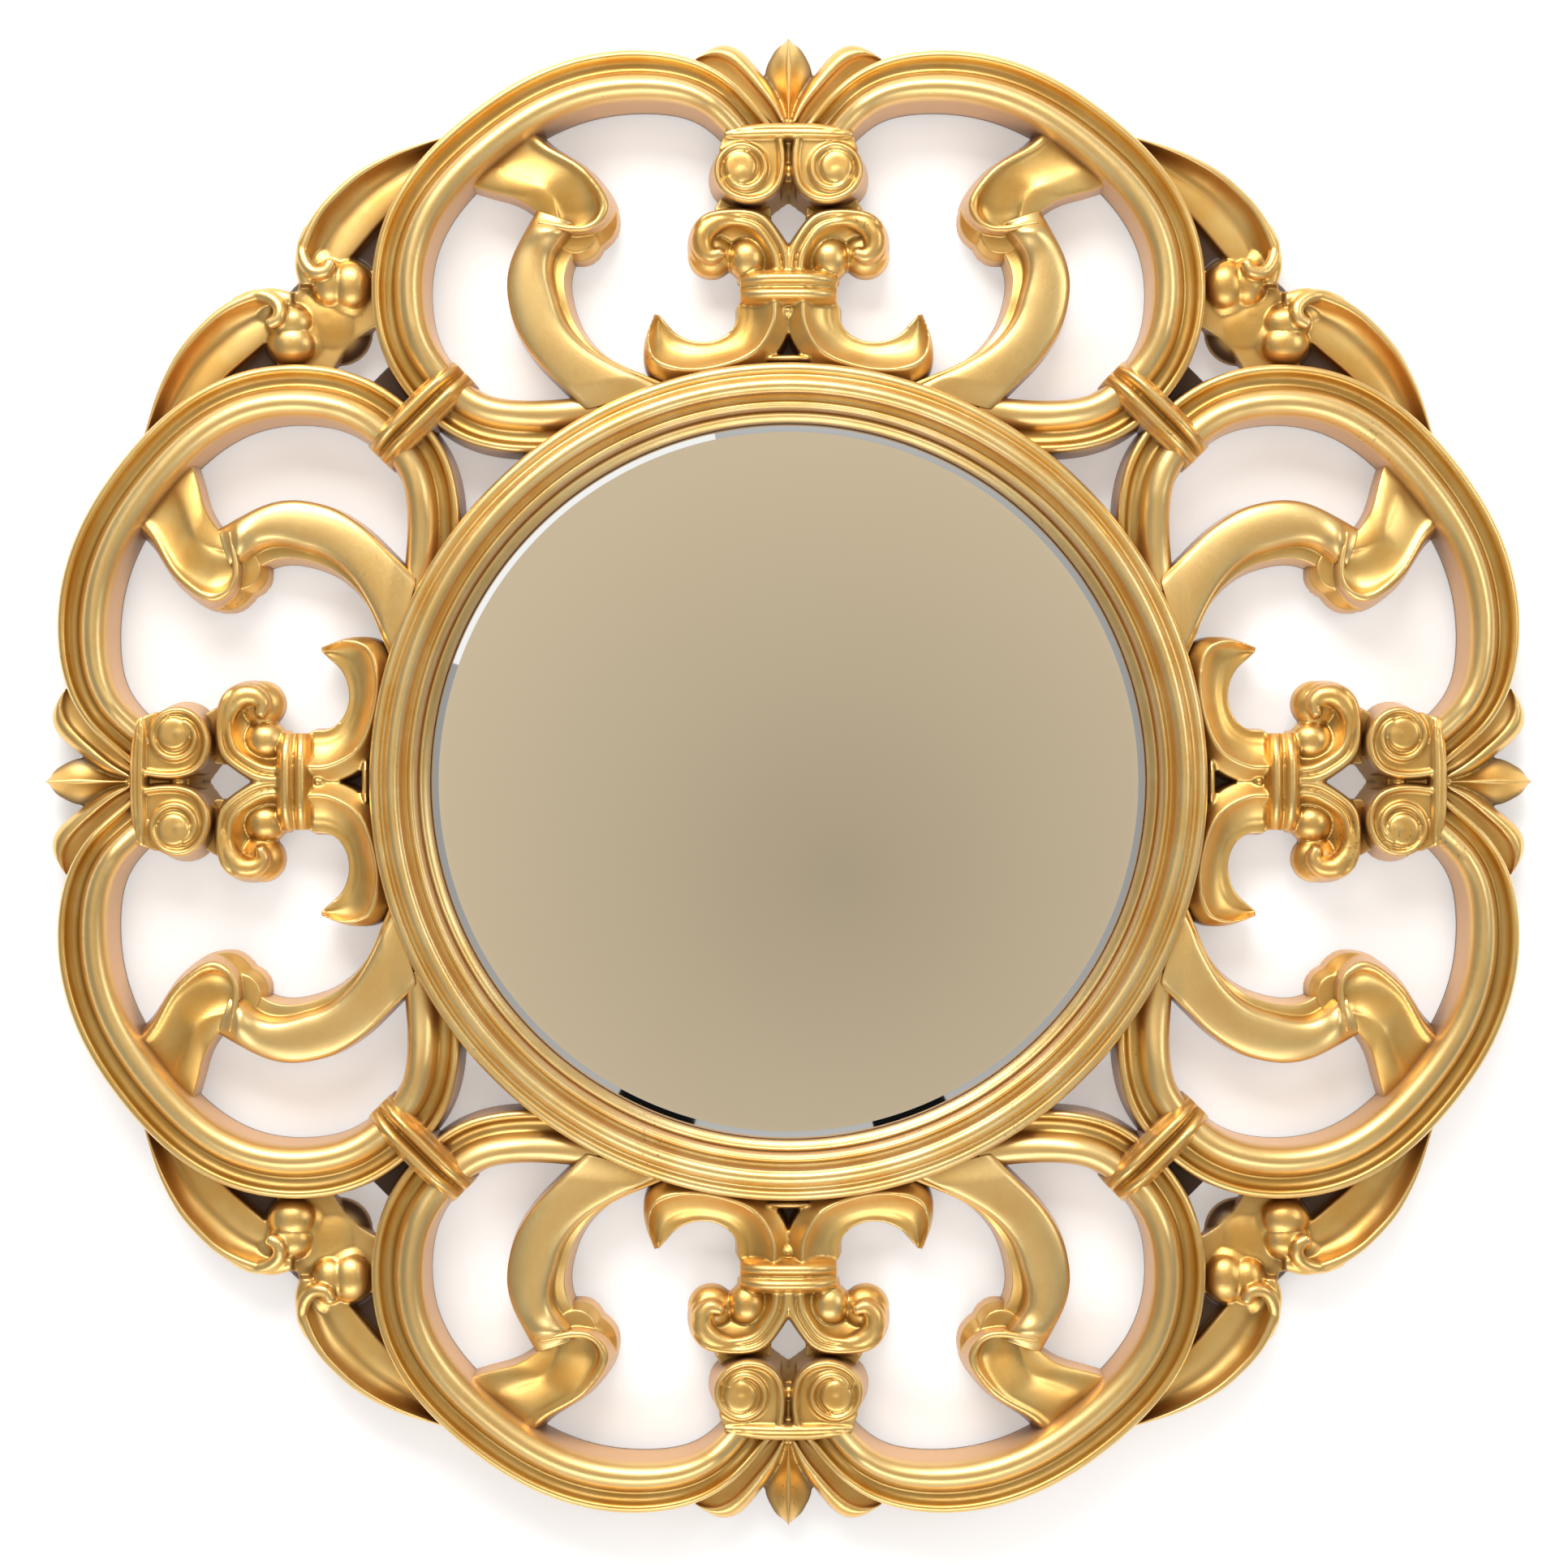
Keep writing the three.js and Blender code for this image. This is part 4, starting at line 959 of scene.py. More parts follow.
def volute_cap_shape(edge, grain):
    """A bowed bar with two volutes hanging from it, and the web between them."""
    count = 90
    share = np.linspace(-1, 1, count)
    x = share * (BAR_HALF_LENGTH - 0.6)
    bowed = BAR_ENDS_OUT + BAR_BOW * (1 - share ** 2)
    a, b = level_band(x, bowed, BAR_HALF_WIDTH * np.sqrt(1 - 0.85 * share ** 4))
    face = [(0, 0.80, 0.05), (0.42, 0.93, 0), (0.46, 0.90, 0.09), (1, 0.80, 0)]
    shares, heights = moulding(face)
    z = heights * BAR_DEPTH * (1 - 0.08 * np.abs(share) ** 4)[:, None]
    parts = [strip(a, b, shares, z, (0.5, 0.5), edge, 0.6)]

    cx, cy = VOLUTE_HALF_SPACING, RING_RADIUS + VOLUTE_OUT + 1
    floor = VOLUTE_DEPTH - 3.6
    right = [stacked([
        (cx + 0.8, cy - 0.8, VOLUTE_RADIUS + 3.2, 0), (cx, cy, VOLUTE_RADIUS, floor - 1),
        (cx, cy, VOLUTE_RADIUS - 0.8, floor),
    ], 72)]

    # The bead comes down from the bar, runs round the volute and winds in under its eye.
    turns = np.radians([205, 229, 255, 275, 300, 330, 360, 400, 450, 500, 540, 580, 620, 660, 690])
    reach = [23.2, 21.2, 18.5, 16.9, 15.9, 15.4, 15.1, 15.2, 15.4, 15.0, 14.2, 12.8, 11.4, 10.0, 9.0]
    wound = np.stack([cx + reach * np.cos(turns), cy + reach * np.sin(turns)], 1)
    strand = upright([(5.6, BAR_OUT - 4), (4.1, BAR_OUT - 14), (4.1, BAR_OUT - 24)])
    path = np.vstack([strand, wound])
    a, b = astride(path, np.full(len(path), 4.7), 260, 4)
    shares, heights = moulding([(0, 0.87, 0.10), (1, 0.87, 0)], 12)
    bead = band_rows(a, b, shares, heights * VOLUTE_DEPTH, (0.6, 0.6), 3, 3)
    right.append(skin(round_ends(bead, 0.8)))
    right.append(stacked([
        (cx + 0.9, cy + 2, 9.9, 10), (cx + 0.9, cy + 2, 9.7, VOLUTE_DEPTH - 2.6),
        (cx + 0.9, cy + 2, 8.7, VOLUTE_DEPTH - 1.4), (cx + 0.9, cy + 2, 6, VOLUTE_DEPTH - 0.9),
    ], 72))
    right.append(ball((cx + 0.4, cy - 1.6, VOLUTE_DEPTH - 3.0), (5.6, 6.2, 2.6)))
    right.append(slab(upright([
        (4.5, BAR_OUT), (38, BAR_OUT), (42, 128), (25, 119.6), (25, 101), (15, 99.6), (4.5, 107.2),
    ]), 0, floor, 0, 10.0))
    right = gathered(right)
    parts += [right, mirrored(right)]
    # Between the strands is a lower floor that falls away to the opening, with a small drop in it.
    parts.append(slab(upright([
        (-5, BAR_OUT), (-5, 106.9), (0, 110.4), (5, 106.9), (5, BAR_OUT),
    ]), 0, floor - 7, 0, 10.0))
    parts.append(ball((*upright([(0, 115.5)])[0], floor - 6.5), (2.5, 4.4, 5.0)))
    return fused("volute_cap", gathered(parts), grain)


def fleuron_shape(edge, grain):
    """Below the volutes: two leaves curled round a ball, a ribbed strap and two upturned leaves."""
    count = 110
    a, b = between(upright(CURL_OUTER), upright(CURL_HUB), count, 4)
    face = [
        (0, 0.78, 0.10), (0.16, 0.84, -0.03), (0.20, 0.80, 0.10), (0.36, 0.76, -0.10), (0.8, 0.42, 0),
        (1, 0.40, 0),
    ]
    shares, heights = moulding(face)
    t = np.linspace(0, 1, count)[:, None]
    z = heights * FLEURON_DEPTH * (1 - 0.25 * smooth(0.6, 0.8, t))
    half = [strip(a, b, shares, z, (2.5, 0.2), edge, 0.5)]

    def at(x, out):
        return x, RING_RADIUS + out

    # The bright boss in the bowl, and the ball under the crescent.
    half.append(ball((*at(25, 64.5), 10.5), (12.4, 13.2, 12.6)))
    half.append(ball((*at(46.8, 66.8), 8.6), (14.4, 14.2, 12.6)))
    # The crescent wraps round the outside of the leaf and ends in a small bright tip.
    crescent = np.array([
        (22, 86.6, 19.4), (34, 87.2, 20.2), (45, 84.4, 20), (51.6, 77.6, 19.6), (51.4, 69.6, 19.4),
        (46.6, 65, 20.2), (41, 66.4, 21.4),
    ])
    path = spline(crescent + [0, RING_RADIUS, 0], 70)
    radius = np.interp(np.linspace(0, 6, 70), np.arange(7), (2.4, 4.4, 6, 6.6, 6.2, 5, 3.4))
    half.append(tube(path, radius, 24))

    a, b = between(upright(UPTURNED_OPEN), upright(UPTURNED_BED), count, 4)
    near = [(0, 0.60, -0.03), (0.22, 0.62, -0.06), (0.66, 0.96, 0.0), (0.70, 0.96, -0.02), (1, 0.66, 0)]
    far = [(0, 0.66, 0.02), (0.22, 0.60, -0.07), (0.80, 0.92, 0.02), (0.86, 0.92, 0), (1, 0.72, 0)]
    shares, heights = changing([(0, near), (0.55, near), (1, far)], count)
    z = heights * FLEURON_DEPTH * (1 - 0.10 * t)
    half.append(strip(a, b, shares, z, (1.5, 1.5), edge * 0.7, 0.5))
    # The shoulders that join the curled leaves to the volutes.
    half.append(slab(upright([(10, 82), (10.6, 96), (20, 104), (40, 104), (45, 95), (46, 82)]), 0, 11))
    half = gathered(half)

    # The strap: two ribs, its ends rounded and turned down.
    count = 60
    share = np.linspace(-1, 1, count)
    x = share * STRAP_HALF_LENGTH
    ease = STRAP_HALF_WIDTH * np.sqrt(1 - 0.25 * np.abs(share) ** 4)
    a, b = level_band(x, STRAP_OUT, ease)
    face = [
        (0, 0.76, 0.02), (0.04, 0.80, 0), (0.06, 0.80, 0.19), (0.5, 0.80, 0.19), (0.94, 0.80, 0),
        (0.96, 0.80, 0.02), (1, 0.76, 0),
    ]
    shares, heights = moulding(face)
    arch = 1 - 0.3 * np.abs(share) ** 3.2
    strap = strip(a, b, shares, heights * STRAP_DEPTH * arch[:, None], (0.5, 0.5), edge, 0.8)
    block = slab(upright([(-28, 22), (28, 22), (29, 54), (-29, 54)]), 0, 16)
    bead = ball((*at(0, 32.0), 17), (3.2, 4.0, 6.0))
    fork = slab(upright([(-11, 52), (11, 52), (11, 75), (0, 67), (-11, 75)]), 0, 14, 3.5)
    # A small ledge on the ring between the upturned leaves, and the web that closes the gap above it.
    ledge = ball((*at(0, 3.4), 14), (16.5, 2.8, 9.5))
    # The web lies low, so the gilding paints it dark as shade.
    web = slab(upright([(-22, -2), (22, -2), (12, 24), (-12, 24)]), 0, 5)
    return fused("fleuron", gathered([half, mirrored(half), strap, block, bead, fork, ledge, web]), grain)


def diagonal_tie_shape(edge, grain):
    """The tie over the meeting of two C-scrolls: two full ribs between thin flanges, and a low web in
    the corner that the lobes leave above it."""
    count = 110
    share = np.linspace(-1, 1, count)
    x = share * (TIE_HALF_LENGTH - 0.6)
    ease = 1 - 0.16 * np.abs(share) ** 3
    a, b = level_band(x, TIE_OUT, TIE_WIDTH / 2 * ease)
    face = [
        (0, 0.72, 0.02), (0.05, 0.76, 0), (0.07, 0.77, 0.22), (0.5, 0.78, 0.22), (0.93, 0.77, 0),
        (0.95, 0.76, 0.02), (1, 0.72, 0),
    ]
    shares, heights = moulding(face, 11)
    arch = 1 - 0.34 * np.abs(share) ** 4
    tie = strip(a, b, shares, heights * TIE_DEPTH * arch[:, None], (1, 1), edge * 0.8, 0.5)
    # The web lies low, so the gilding paints it dark as shade.
    web = slab([(-13, 350), (13, 350), (16, 312), (-16, 312)], 0, 6)
    return turned(fused("diagonal_tie", gathered([tie, web]), grain * 0.8, 3), 45)


def back_scroll_shape(edge, grain):
    """Behind a lobe on each side of the diagonal: a rimmed trough that curls round a knob, and the
    bridge between the two."""
    count = 120
    a, b = between(polar(TROUGH_OUTER), polar(TROUGH_INNER), count, 4)

    def face(rim, sink):
        return [
            (0, 0.82, 0.08), (rim, 0.88, 0), (rim + 0.03, 0.80, -0.10),
            (rim + 0.42 * (1 - rim), sink, 0.05), (1, sink + 0.06, 0),
        ]

    shares, heights = changing(
        [(0, face(0.11, 0.50)), (0.55, face(0.14, 0.46)), (0.82, face(0.22, 0.46)), (1, face(0.44, 0.56))],
        count)
    half = [strip(a, b, shares, heights * TROUGH_DEPTH, (2, 1.5), edge, 0.6)]
    # The rim's end winds down to a small bead over the knob.
    curl = np.array([
        (291, 334, 15.2), (293.4, 323, 16.4), (291.4, 312.6, 18.4), (285.6, 306.6, 20.4),
        (278.8, 306.8, 21.6), (275.4, 312, 21.4),
    ])
    radius = np.interp(np.linspace(0, 1, 80), (0, 0.3, 0.7, 1), (2, 4.2, 4.2, 3.6))
    half.append(tube(spline(curl, 80), radius, 18))
    # Under it is a round floor. The knob has two lobes with a crease between, on a mound that falls
    # away to the inside.
    half += [
        ball((284, 313, 0), (15, 15, 13)), ball((264.8, 300.4, 9), (13.4, 15.4, 12.4)),
        ball((277.4, 301.4, 9), (12.2, 14.8, 12.2)), ball((269, 297, 0), (21, 22.5, 16)),
    ]
    # The web closes the gap between the trough and the lobe, deep down.
    web = polar([
        (29, 172), (32, 174), (35, 172.4), (38, 170), (41, 166), (43, 158), (42.6, 140), (40, 126),
        (37.6, 136), (35, 148), (32, 160),
    ])
    # The web lies low, so the gilding paints it dark as shade.
    half.append(slab(web, 0, 4))
    half = gathered(half)
    outline = polar(BRIDGE_HALF)
    full = np.vstack([outline, outline[1:-1, ::-1][::-1]])
    # A soft mound fills the diagonal between the knobs.
    # Its low parts are painted dark as shade by the gilding.
    mound = turned(ball((0, 396, 0), (24, 30, 14)), 45)
    shape = gathered([half, swapped(half), slab(full, 0, 10.5), mound])
    return fused("back_scroll", shape, grain)


# ---- Pieces ---------------------------------------------------------------------------------------


def carve(context, place_all, name, draw, level, fine=True):
    """Draws a carving once and puts it, gilded, in all its places, its back at level. Fine ones
    need the grain too."""
    carving = context.scene.mirror.carving
    sizes = [carving.edge_radius / MM, carving.grain / MM]
    place_all(name, draw(*sizes[:2 if fine else 1]), carving_gilt(context), level)
    return {"FINISHED"}


class MIRROR_OT_scrolls(bpy.types.Operator):
    """Carve and gild the eight large C-scrolls"""
    bl_idname = "mirror.scrolls"
    bl_label = "C-scrolls"

    def execute(self, context):
        return carve(context, place_eighths, "c_scroll", c_scroll_shape, 0.2, fine=False)


class MIRROR_OT_branches(bpy.types.Operator):
    """Carve and gild the hook leaves and the inner scrolls"""
    bl_idname = "mirror.branches"
    bl_label = "Hook leaves and inner scrolls"

    def execute(self, context):
        carve(context, place_eighths, "hook_leaf", hook_leaf_shape, 0.3)
        return carve(context, place_eighths, "inner_scroll", inner_scroll_shape, 0.6, fine=False)


class MIRROR_OT_crests(bpy.types.Operator):
    """Carve and gild the leaf crests"""
    bl_idname = "mirror.crests"
    bl_label = "Crests"

    def execute(self, context):
        return carve(context, place_sides, "crest", crest_shape, 0.45)


class MIRROR_OT_volute_caps(bpy.types.Operator):
    """Carve and gild the bars with their volutes"""
    bl_idname = "mirror.volute_caps"
    bl_label = "Volute caps"

    def execute(self, context):
        return carve(context, place_sides, "volute_cap", volute_cap_shape, 0)


class MIRROR_OT_fleurons(bpy.types.Operator):
    """Carve and gild the curled leaves, straps and upturned leaves"""
    bl_idname = "mirror.fleurons"
    bl_label = "Fleurons"

    def execute(self, context):
        return carve(context, place_sides, "fleuron", fleuron_shape, 0.75)


class MIRROR_OT_diagonals(bpy.types.Operator):
    """Carve and gild the ties and back scrolls on the diagonals"""
    bl_idname = "mirror.diagonals"
    bl_label = "Ties and back scrolls"

    def execute(self, context):
        carve(context, place_sides, "diagonal_tie", diagonal_tie_shape, 0.9)
        return carve(context, place_sides, "back_scroll", back_scroll_shape, 0.5)


def dome(radius, rise):
    """Height of the glass above its rim."""
    bend = (GLASS_RADIUS ** 2 + rise ** 2) / (2 * rise)
    return np.sqrt(bend ** 2 - radius ** 2) - math.sqrt(bend ** 2 - GLASS_RADIUS ** 2)


def glass_slope(rise, bevel):
    """Height of the bevel's inner edge and its fall per millimetre."""
    field = GLASS_RADIUS - bevel
    top = LAND_HEIGHT + dome(field, rise) + GLASS_THICKNESS
    return field, (top - LAND_HEIGHT - GLASS_EDGE) / bevel


class MIRROR_OT_ring(bpy.types.Operator):
    """Turn and gild the ring round the glass"""
    bl_idname = "mirror.ring"
    bl_label = "Ring"

    def execute(self, context):
        glass = context.scene.mirror.glass
        _, slope = glass_slope(glass.rise / MM, glass.bevel_width / MM)
        seat = LAND_HEIGHT + GLASS_EDGE + slope * (GLASS_RADIUS - SIGHT_RADIUS) + CLEARANCE
        # From the sight edge outwards: lip, crevice, bead, hollow, torus, quirk, fillet, outer wall.
        knots = [
            (SIGHT_RADIUS, 9.7, 2.4), (222.7, 17.8, 0), (223.4, 16.4, 0), (224.2, 24.2, 3.6),
            (228.8, 25.8, -1.2), (232.4, 28.6, 0), (233.2, 32.2, 3.2), (242, 31.4, 0),
            (242.8, 29.2, -0.8), (245.4, 28.8, 1.8), (RING_RADIUS, 27.6, 0), (RING_RADIUS, 0, 0),
            (LAND_RADIUS, 0, 0), (LAND_RADIUS, LAND_HEIGHT, 0), (REBATE_RADIUS, LAND_HEIGHT, 0),
            (REBATE_RADIUS, seat, 0), (SIGHT_RADIUS, seat + 0.6, 0), (SIGHT_RADIUS, 9.7, 0),
        ]
        radius, height = moulding(knots, 8)
        rows = softened(lathe(np.stack([radius, height], 1)[:-1], 360), 0.28)
        rows[..., 2] = np.maximum(rows[..., 2], 0)
        gilt = gilding("gold_leaf_on_ring", context.scene.mirror.gilding, paler=True)
        place("gilt_frame_ring", skin(rows, closed=True), "frame_ring", "gilded_ring", gilt, reach=10)
        return {"FINISHED"}


class MIRROR_OT_glass(bpy.types.Operator):
    """Bend, bevel and silver the glass"""
    bl_idname = "mirror.glass"
    bl_label = "Glass"

    def execute(self, context):
        settings = context.scene.mirror.glass
        rise = settings.rise / MM
        field, slope = glass_slope(rise, settings.bevel_width / MM)
        inner = np.linspace(0, 1, 60)[1:] * (field - 0.25)
        front = np.column_stack([inner, LAND_HEIGHT + dome(inner, rise) + GLASS_THICKNESS])
        outer = np.linspace(field + 0.25, GLASS_RADIUS, 8)
        bevel = np.column_stack([outer, LAND_HEIGHT + GLASS_EDGE + slope * (GLASS_RADIUS - outer)])
        back_radius = np.linspace(GLASS_RADIUS, 1.0, 40)
        back = np.column_stack([back_radius, LAND_HEIGHT + dome(back_radius, rise)])
        shape = spun(np.vstack([front, bevel, back]), 256)
        place("domed_glass", shape, "mirror_glass", "silvered_glass", silvered_glass(settings), reach=0)
        return {"FINISHED"}


class MIRROR_OT_board(bpy.types.Operator):
    """Cut the backing board"""
    bl_idname = "mirror.board"
    bl_label = "Backing board"

    def execute(self, context):
        rim = LAND_RADIUS - CLEARANCE
        profile = np.array([
            (1, 0), (rim * 0.5, 0), (rim - 1.2, 0), (rim - 0.4, 0.15), (rim, 0.6),
            (rim, BOARD_THICKNESS - 0.2), (rim - 0.3, BOARD_THICKNESS), (1, BOARD_THICKNESS),
        ])
        board = pressed_hardboard(context.scene.mirror.fittings)
        place("fibre_backing_board", spun(profile, 180), "backing_board", "hardboard", board, reach=0,
              sharp=40)
        return {"FINISHED"}


def screw_shape():
    """A pan-head screw with a cross recess, its head below the plane z = 0."""
    rings = np.concatenate([np.linspace(0.12, 2.2, 12), np.linspace(2.4, HEAD_RADIUS, 7)])
    edge = (rings / HEAD_RADIUS) ** 6
    height = -HEAD_HEIGHT + 0.9 * edge
    profile = list(zip(rings, height))
    profile += [(HEAD_RADIUS, -CLEARANCE), (SHANK_RADIUS, -CLEARANCE)]
    # Thread: ridges 1.2 mm apart.
    for z in np.arange(0.6, SCREW_LENGTH - 3, 0.6):
        crest = int(round(z / 0.6)) % 2
        profile.append((SHANK_RADIUS if crest else SHANK_RADIUS - 0.35, z))
    profile += [(SHANK_RADIUS - 0.4, SCREW_LENGTH - 3), (0.15, SCREW_LENGTH - 0.05)]
    rows = np.swapaxes(lathe(profile, 48), 0, 1).copy()
    head = rows[:12]
    reach = np.hypot(head[..., 0], head[..., 1])
    arm = np.minimum(np.abs(head[..., 0]), np.abs(head[..., 1]))
    head[..., 2] += np.where((arm < 0.42) & (reach < 1.9), 1.05 * (1 - reach / 3.4), 0)
    return skin(rows)


def shifted(shape, x, y, z):
    points, quads, triangles = shape
    return points + [x, y, z], quads, triangles


def place_steel(context, name, shape, node, body="frame", sharp=35):
    """Places a zinc-plated fitting."""
    zinc = bpy.data.materials.get("zinc_plated_steel")
    zinc = zinc or zinc_plated_steel(context.scene.mirror.fittings)
    place(name, shape, node, "zinc_plate", zinc, body, 0, sharp)


class MIRROR_OT_board_screws(bpy.types.Operator):
    """Drive the screws that hold the board"""
    bl_idname = "mirror.board_screws"
    bl_label = "Board screws"

    def execute(self, context):
        radius = (REBATE_RADIUS + LAND_RADIUS) / 2
        for i in range(SIDES):
            shape = shifted(turned(screw_shape(), 23 * i), 0, radius, 0)
            node = f"board_screw_{i + 1}"
            place_steel(context, f"pan_head_{node}", turned(shape, -90 * (i + 0.5)), node)
        return {"FINISHED"}


def at_hanger(shape, sign):
    """Moves a skin from the top of the page to the place of a hanger on the ring."""
    reach = (LAND_RADIUS + RING_RADIUS) / 2
    angle = math.radians(HANGER_ANGLE)
    lean = -sign * (90 - HANGER_ANGLE)
    return shifted(turned(shape, lean), sign * reach * math.sin(angle), reach * math.cos(angle), 0)


def wire_ring_shape():
    """A round wire bent to a straight bar and a bow, its bar on the pin axis."""
    half = RING_BAR_LENGTH / 2
    corner = 2.2
    points = []
    for x, y, radius, first, last, steps in (
        (0, RING_REACH - half, half, -0.45, math.pi + 0.45, 40),
        (corner - half, corner, corner, math.pi * 0.98, 1.5 * math.pi, 8),
        (half - corner, corner, corner, 1.5 * math.pi, 2.02 * math.pi, 8),
    ):
        for angle in np.linspace(first, last, steps):
            points.append((x + radius * math.cos(angle), y + radius * math.sin(angle)))
    loop = np.array(points)
    length = np.concatenate([[0], np.cumsum(np.linalg.norm(np.roll(loop, -1, 0) - loop, axis=1))])
    at = np.linspace(0, length[-1], 120, endpoint=False)
    closed = np.vstack([loop, loop[:1]])
    loop = np.stack([np.interp(at, length, closed[:, k]) for k in (0, 1)], 1)
    ahead = np.roll(loop, -1, 0) - np.roll(loop, 1, 0)
    ahead /= np.linalg.norm(ahead, axis=1)[:, None]
    side = np.stack([ahead[:, 1], -ahead[:, 0]], 1)
    angle = around(20)[None, :]
    x = loop[:, :1] + side[:, :1] * WIRE_RADIUS * np.cos(angle)
    y = loop[:, 1:] + side[:, 1:] * WIRE_RADIUS * np.cos(angle)
    z = PIN_HEIGHT + WIRE_RADIUS * np.sin(angle) * np.ones_like(x)
    return skin(np.stack([x, y, z], 2), closed=True)


def strap_plate_shape():
    """A steel strip with a rounded end, rolled at its other end round the bar of the ring."""
    half = PLATE_WIDTH / 2
    outline = [(x, 0) for x in np.linspace(half, -half, 9)]
    outline += [(-half, y) for y in np.linspace(0, half - PLATE_LENGTH, 12)[1:]]
    outline += [
        (half * math.cos(a), half - PLATE_LENGTH + half * math.sin(a))
        for a in np.linspace(math.pi, 2 * math.pi, 21)[1:]
    ]
    outline += [(half, y) for y in np.linspace(half - PLATE_LENGTH, 0, 12)[1:-1]]
    outline = np.array(outline)
    centre = outline.mean(0)
    low, high = -CLEARANCE - PLATE_THICKNESS, -CLEARANCE
    rows = []
    for inset, z in ((0.3, low), (0.05, low + 0.2), (0, low + 0.4), (0, high - 0.1), (0.1, high)):
        away = outline - centre
        size = np.linalg.norm(away, axis=1)[:, None]
        plan = centre + away * (1 - inset / size)
        rows.append(np.hstack([plan, np.full((len(plan), 1), z)]))
    flat = skin(np.array(rows))
    # The rolled eye: a strip bent round the pin, seen from its end.
    eye = []
    for angle in around(40):
        section = []
        for r, x in (
            (LOOP_INSIDE, -half + 0.2), (LOOP_INSIDE + 0.2, -half), (LOOP_OUTSIDE - 0.25, -half),
            (LOOP_OUTSIDE, -half + 0.3), (LOOP_OUTSIDE, half - 0.3), (LOOP_OUTSIDE - 0.25, half),
            (LOOP_INSIDE + 0.2, half), (LOOP_INSIDE, half - 0.2),
        ):
            section.append((x, r * math.cos(angle), PIN_HEIGHT + r * math.sin(angle)))
        eye.append(section)
    return gathered([flat, skin(np.array(eye), closed=True)])


class MIRROR_OT_hangers(bpy.types.Operator):
    """Fit the strap plates, their screws and the hinged rings"""
    bl_idname = "mirror.hangers"
    bl_label = "Hangers"

    def execute(self, context):
        for side, sign in (("right", 1), ("left", -1)):
            place_steel(context, f"strap_plate_{side}", at_hanger(strap_plate_shape(), sign),
                        f"hanger_plate_{side}")
            place_steel(context, f"wire_ring_{side}", at_hanger(wire_ring_shape(), sign),
                        f"hanger_ring_{side}", f"ring_{side}", None)
            for i, y in enumerate(PLATE_SCREWS):
                screw = turned(screw_shape(), 31 * (i + 1) * sign)
                shape = at_hanger(shifted(screw, 0, y, -CLEARANCE - PLATE_THICKNESS), sign)
                node = f"hanger_screw_{side}_{i + 1}"
                place_steel(context, f"pan_head_{node}", shape, node)
        return {"FINISHED"}


# ---- Studio ---------------------------------------------------------------------------------------

PICTURE_PIXELS = 1932
SENSOR_WIDTH = 36
VIEW_WIDTH = 0.940
VIEW_DISTANCE = 1.700
VIEW_PLANE = -0.028
OBJECT_RIGHT_PIXELS = 5.5
OBJECT_UP_PIXELS = 3.0
WALL_Y = 0.0095
WALL_TOP = 2.4
WALL_HALF_WIDTH = 2.4
FLOOR_Z = -0.62
FLOOR_HALF_WIDTH = 4.0
FLOOR_FRONT, FLOOR_BACK = -5.0, 4.0
ROOM_DISTANCE = 4.2
ROOM_RADIUS = 1.8
ARC_STEPS = 24
# Cards that show in the bevel: depth, inner and outer radius, angles, brightness.
ARCS = {
    "white_card": (-2.1, (1.02, 1.7), (289.5, 348), 1.0),
    "dark_card_right": (-2.0, (1.0, 1.5), (153.7, 166.2), 0.006),
    "dark_card_left": (-2.0, (1.0, 1.5), (195.3, 208.6), 0.006),
}


def painted(name, colour, lift):
    """Matt emulsion paint. Rays to the eye and to shiny things see it lifted to a clean white that
    keeps its shadows; from behind, and to other light, it isn't there."""
    material, add = new_material(name)
    ray = add("LightPath")
    seen = add("Math", {
        0: ray.outputs["Is Camera Ray"], 1: ray.outputs["Is Glossy Ray"],
    }, operation="MAXIMUM")
    seen = add("Math", {0: seen, 1: ray.outputs["Is Transmission Ray"]}, operation="MAXIMUM")
    grain = add("TexNoise", {
        "Vector": add("TexCoord").outputs["Object"],
        "Scale": per_metre(4), "Detail": 2.0,
    })
    rise = add("Bump", {"Height": grain, "Strength": 0.05, "Distance": 0.1 * MM})
    matt = add("BsdfDiffuse", {"Color": colour, "Normal": rise})
    glow_level = add("Math", {0: seen, 1: lift}, operation="MULTIPLY")
    glow = add("Emission", {"Color": (1, 1, 1), "Strength": glow_level})
    lit = add("AddShader", {0: matt, 1: glow})
    behind = add("NewGeometry").outputs["Backfacing"]
    unseen = add("Math", {0: 1.0, 1: seen}, operation="SUBTRACT")
    absent = add("Math", {0: behind, 1: unseen}, operation="MAXIMUM")
    through = add("BsdfTransparent")
    mixed = add("MixShader", {0: absent, 1: lit, 2: through})
    add("OutputMaterial", {"Surface": mixed})
    return material


def stage_sheet(name, corners, material, faces=None):
    """A thin sheet of the studio: one face through all its corners, unless faces are given."""
    mesh = bpy.data.meshes.new(name)
    mesh.from_pydata(corners, [], faces or [tuple(range(len(corners)))])
    mesh.materials.append(material)
    sheet = bpy.data.objects.new(name, mesh)
    bpy.context.scene.collection.objects.link(sheet)
    return sheet


def hide_card(card, lights=True):
    """Leaves a card to be seen in the glass alone, and to give light or not."""
    card.visible_camera = card.visible_shadow = False
    card.visible_diffuse = lights


def soft_light(name, place_at, size, power, colour=(1, 1, 1)):
    """A square soft light aimed at the middle of the mirror."""
    lamp = bpy.data.lights.new(name, "AREA")
    lamp.shape = "RECTANGLE"
    lamp.size, lamp.size_y = size
    lamp.energy = power
    lamp.color = colour
    light = bpy.data.objects.new(name, lamp)
    light.location = place_at
    light.rotation_euler = (-Vector(place_at)).to_track_quat("-Z", "Y").to_euler()
    bpy.context.scene.collection.objects.link(light)


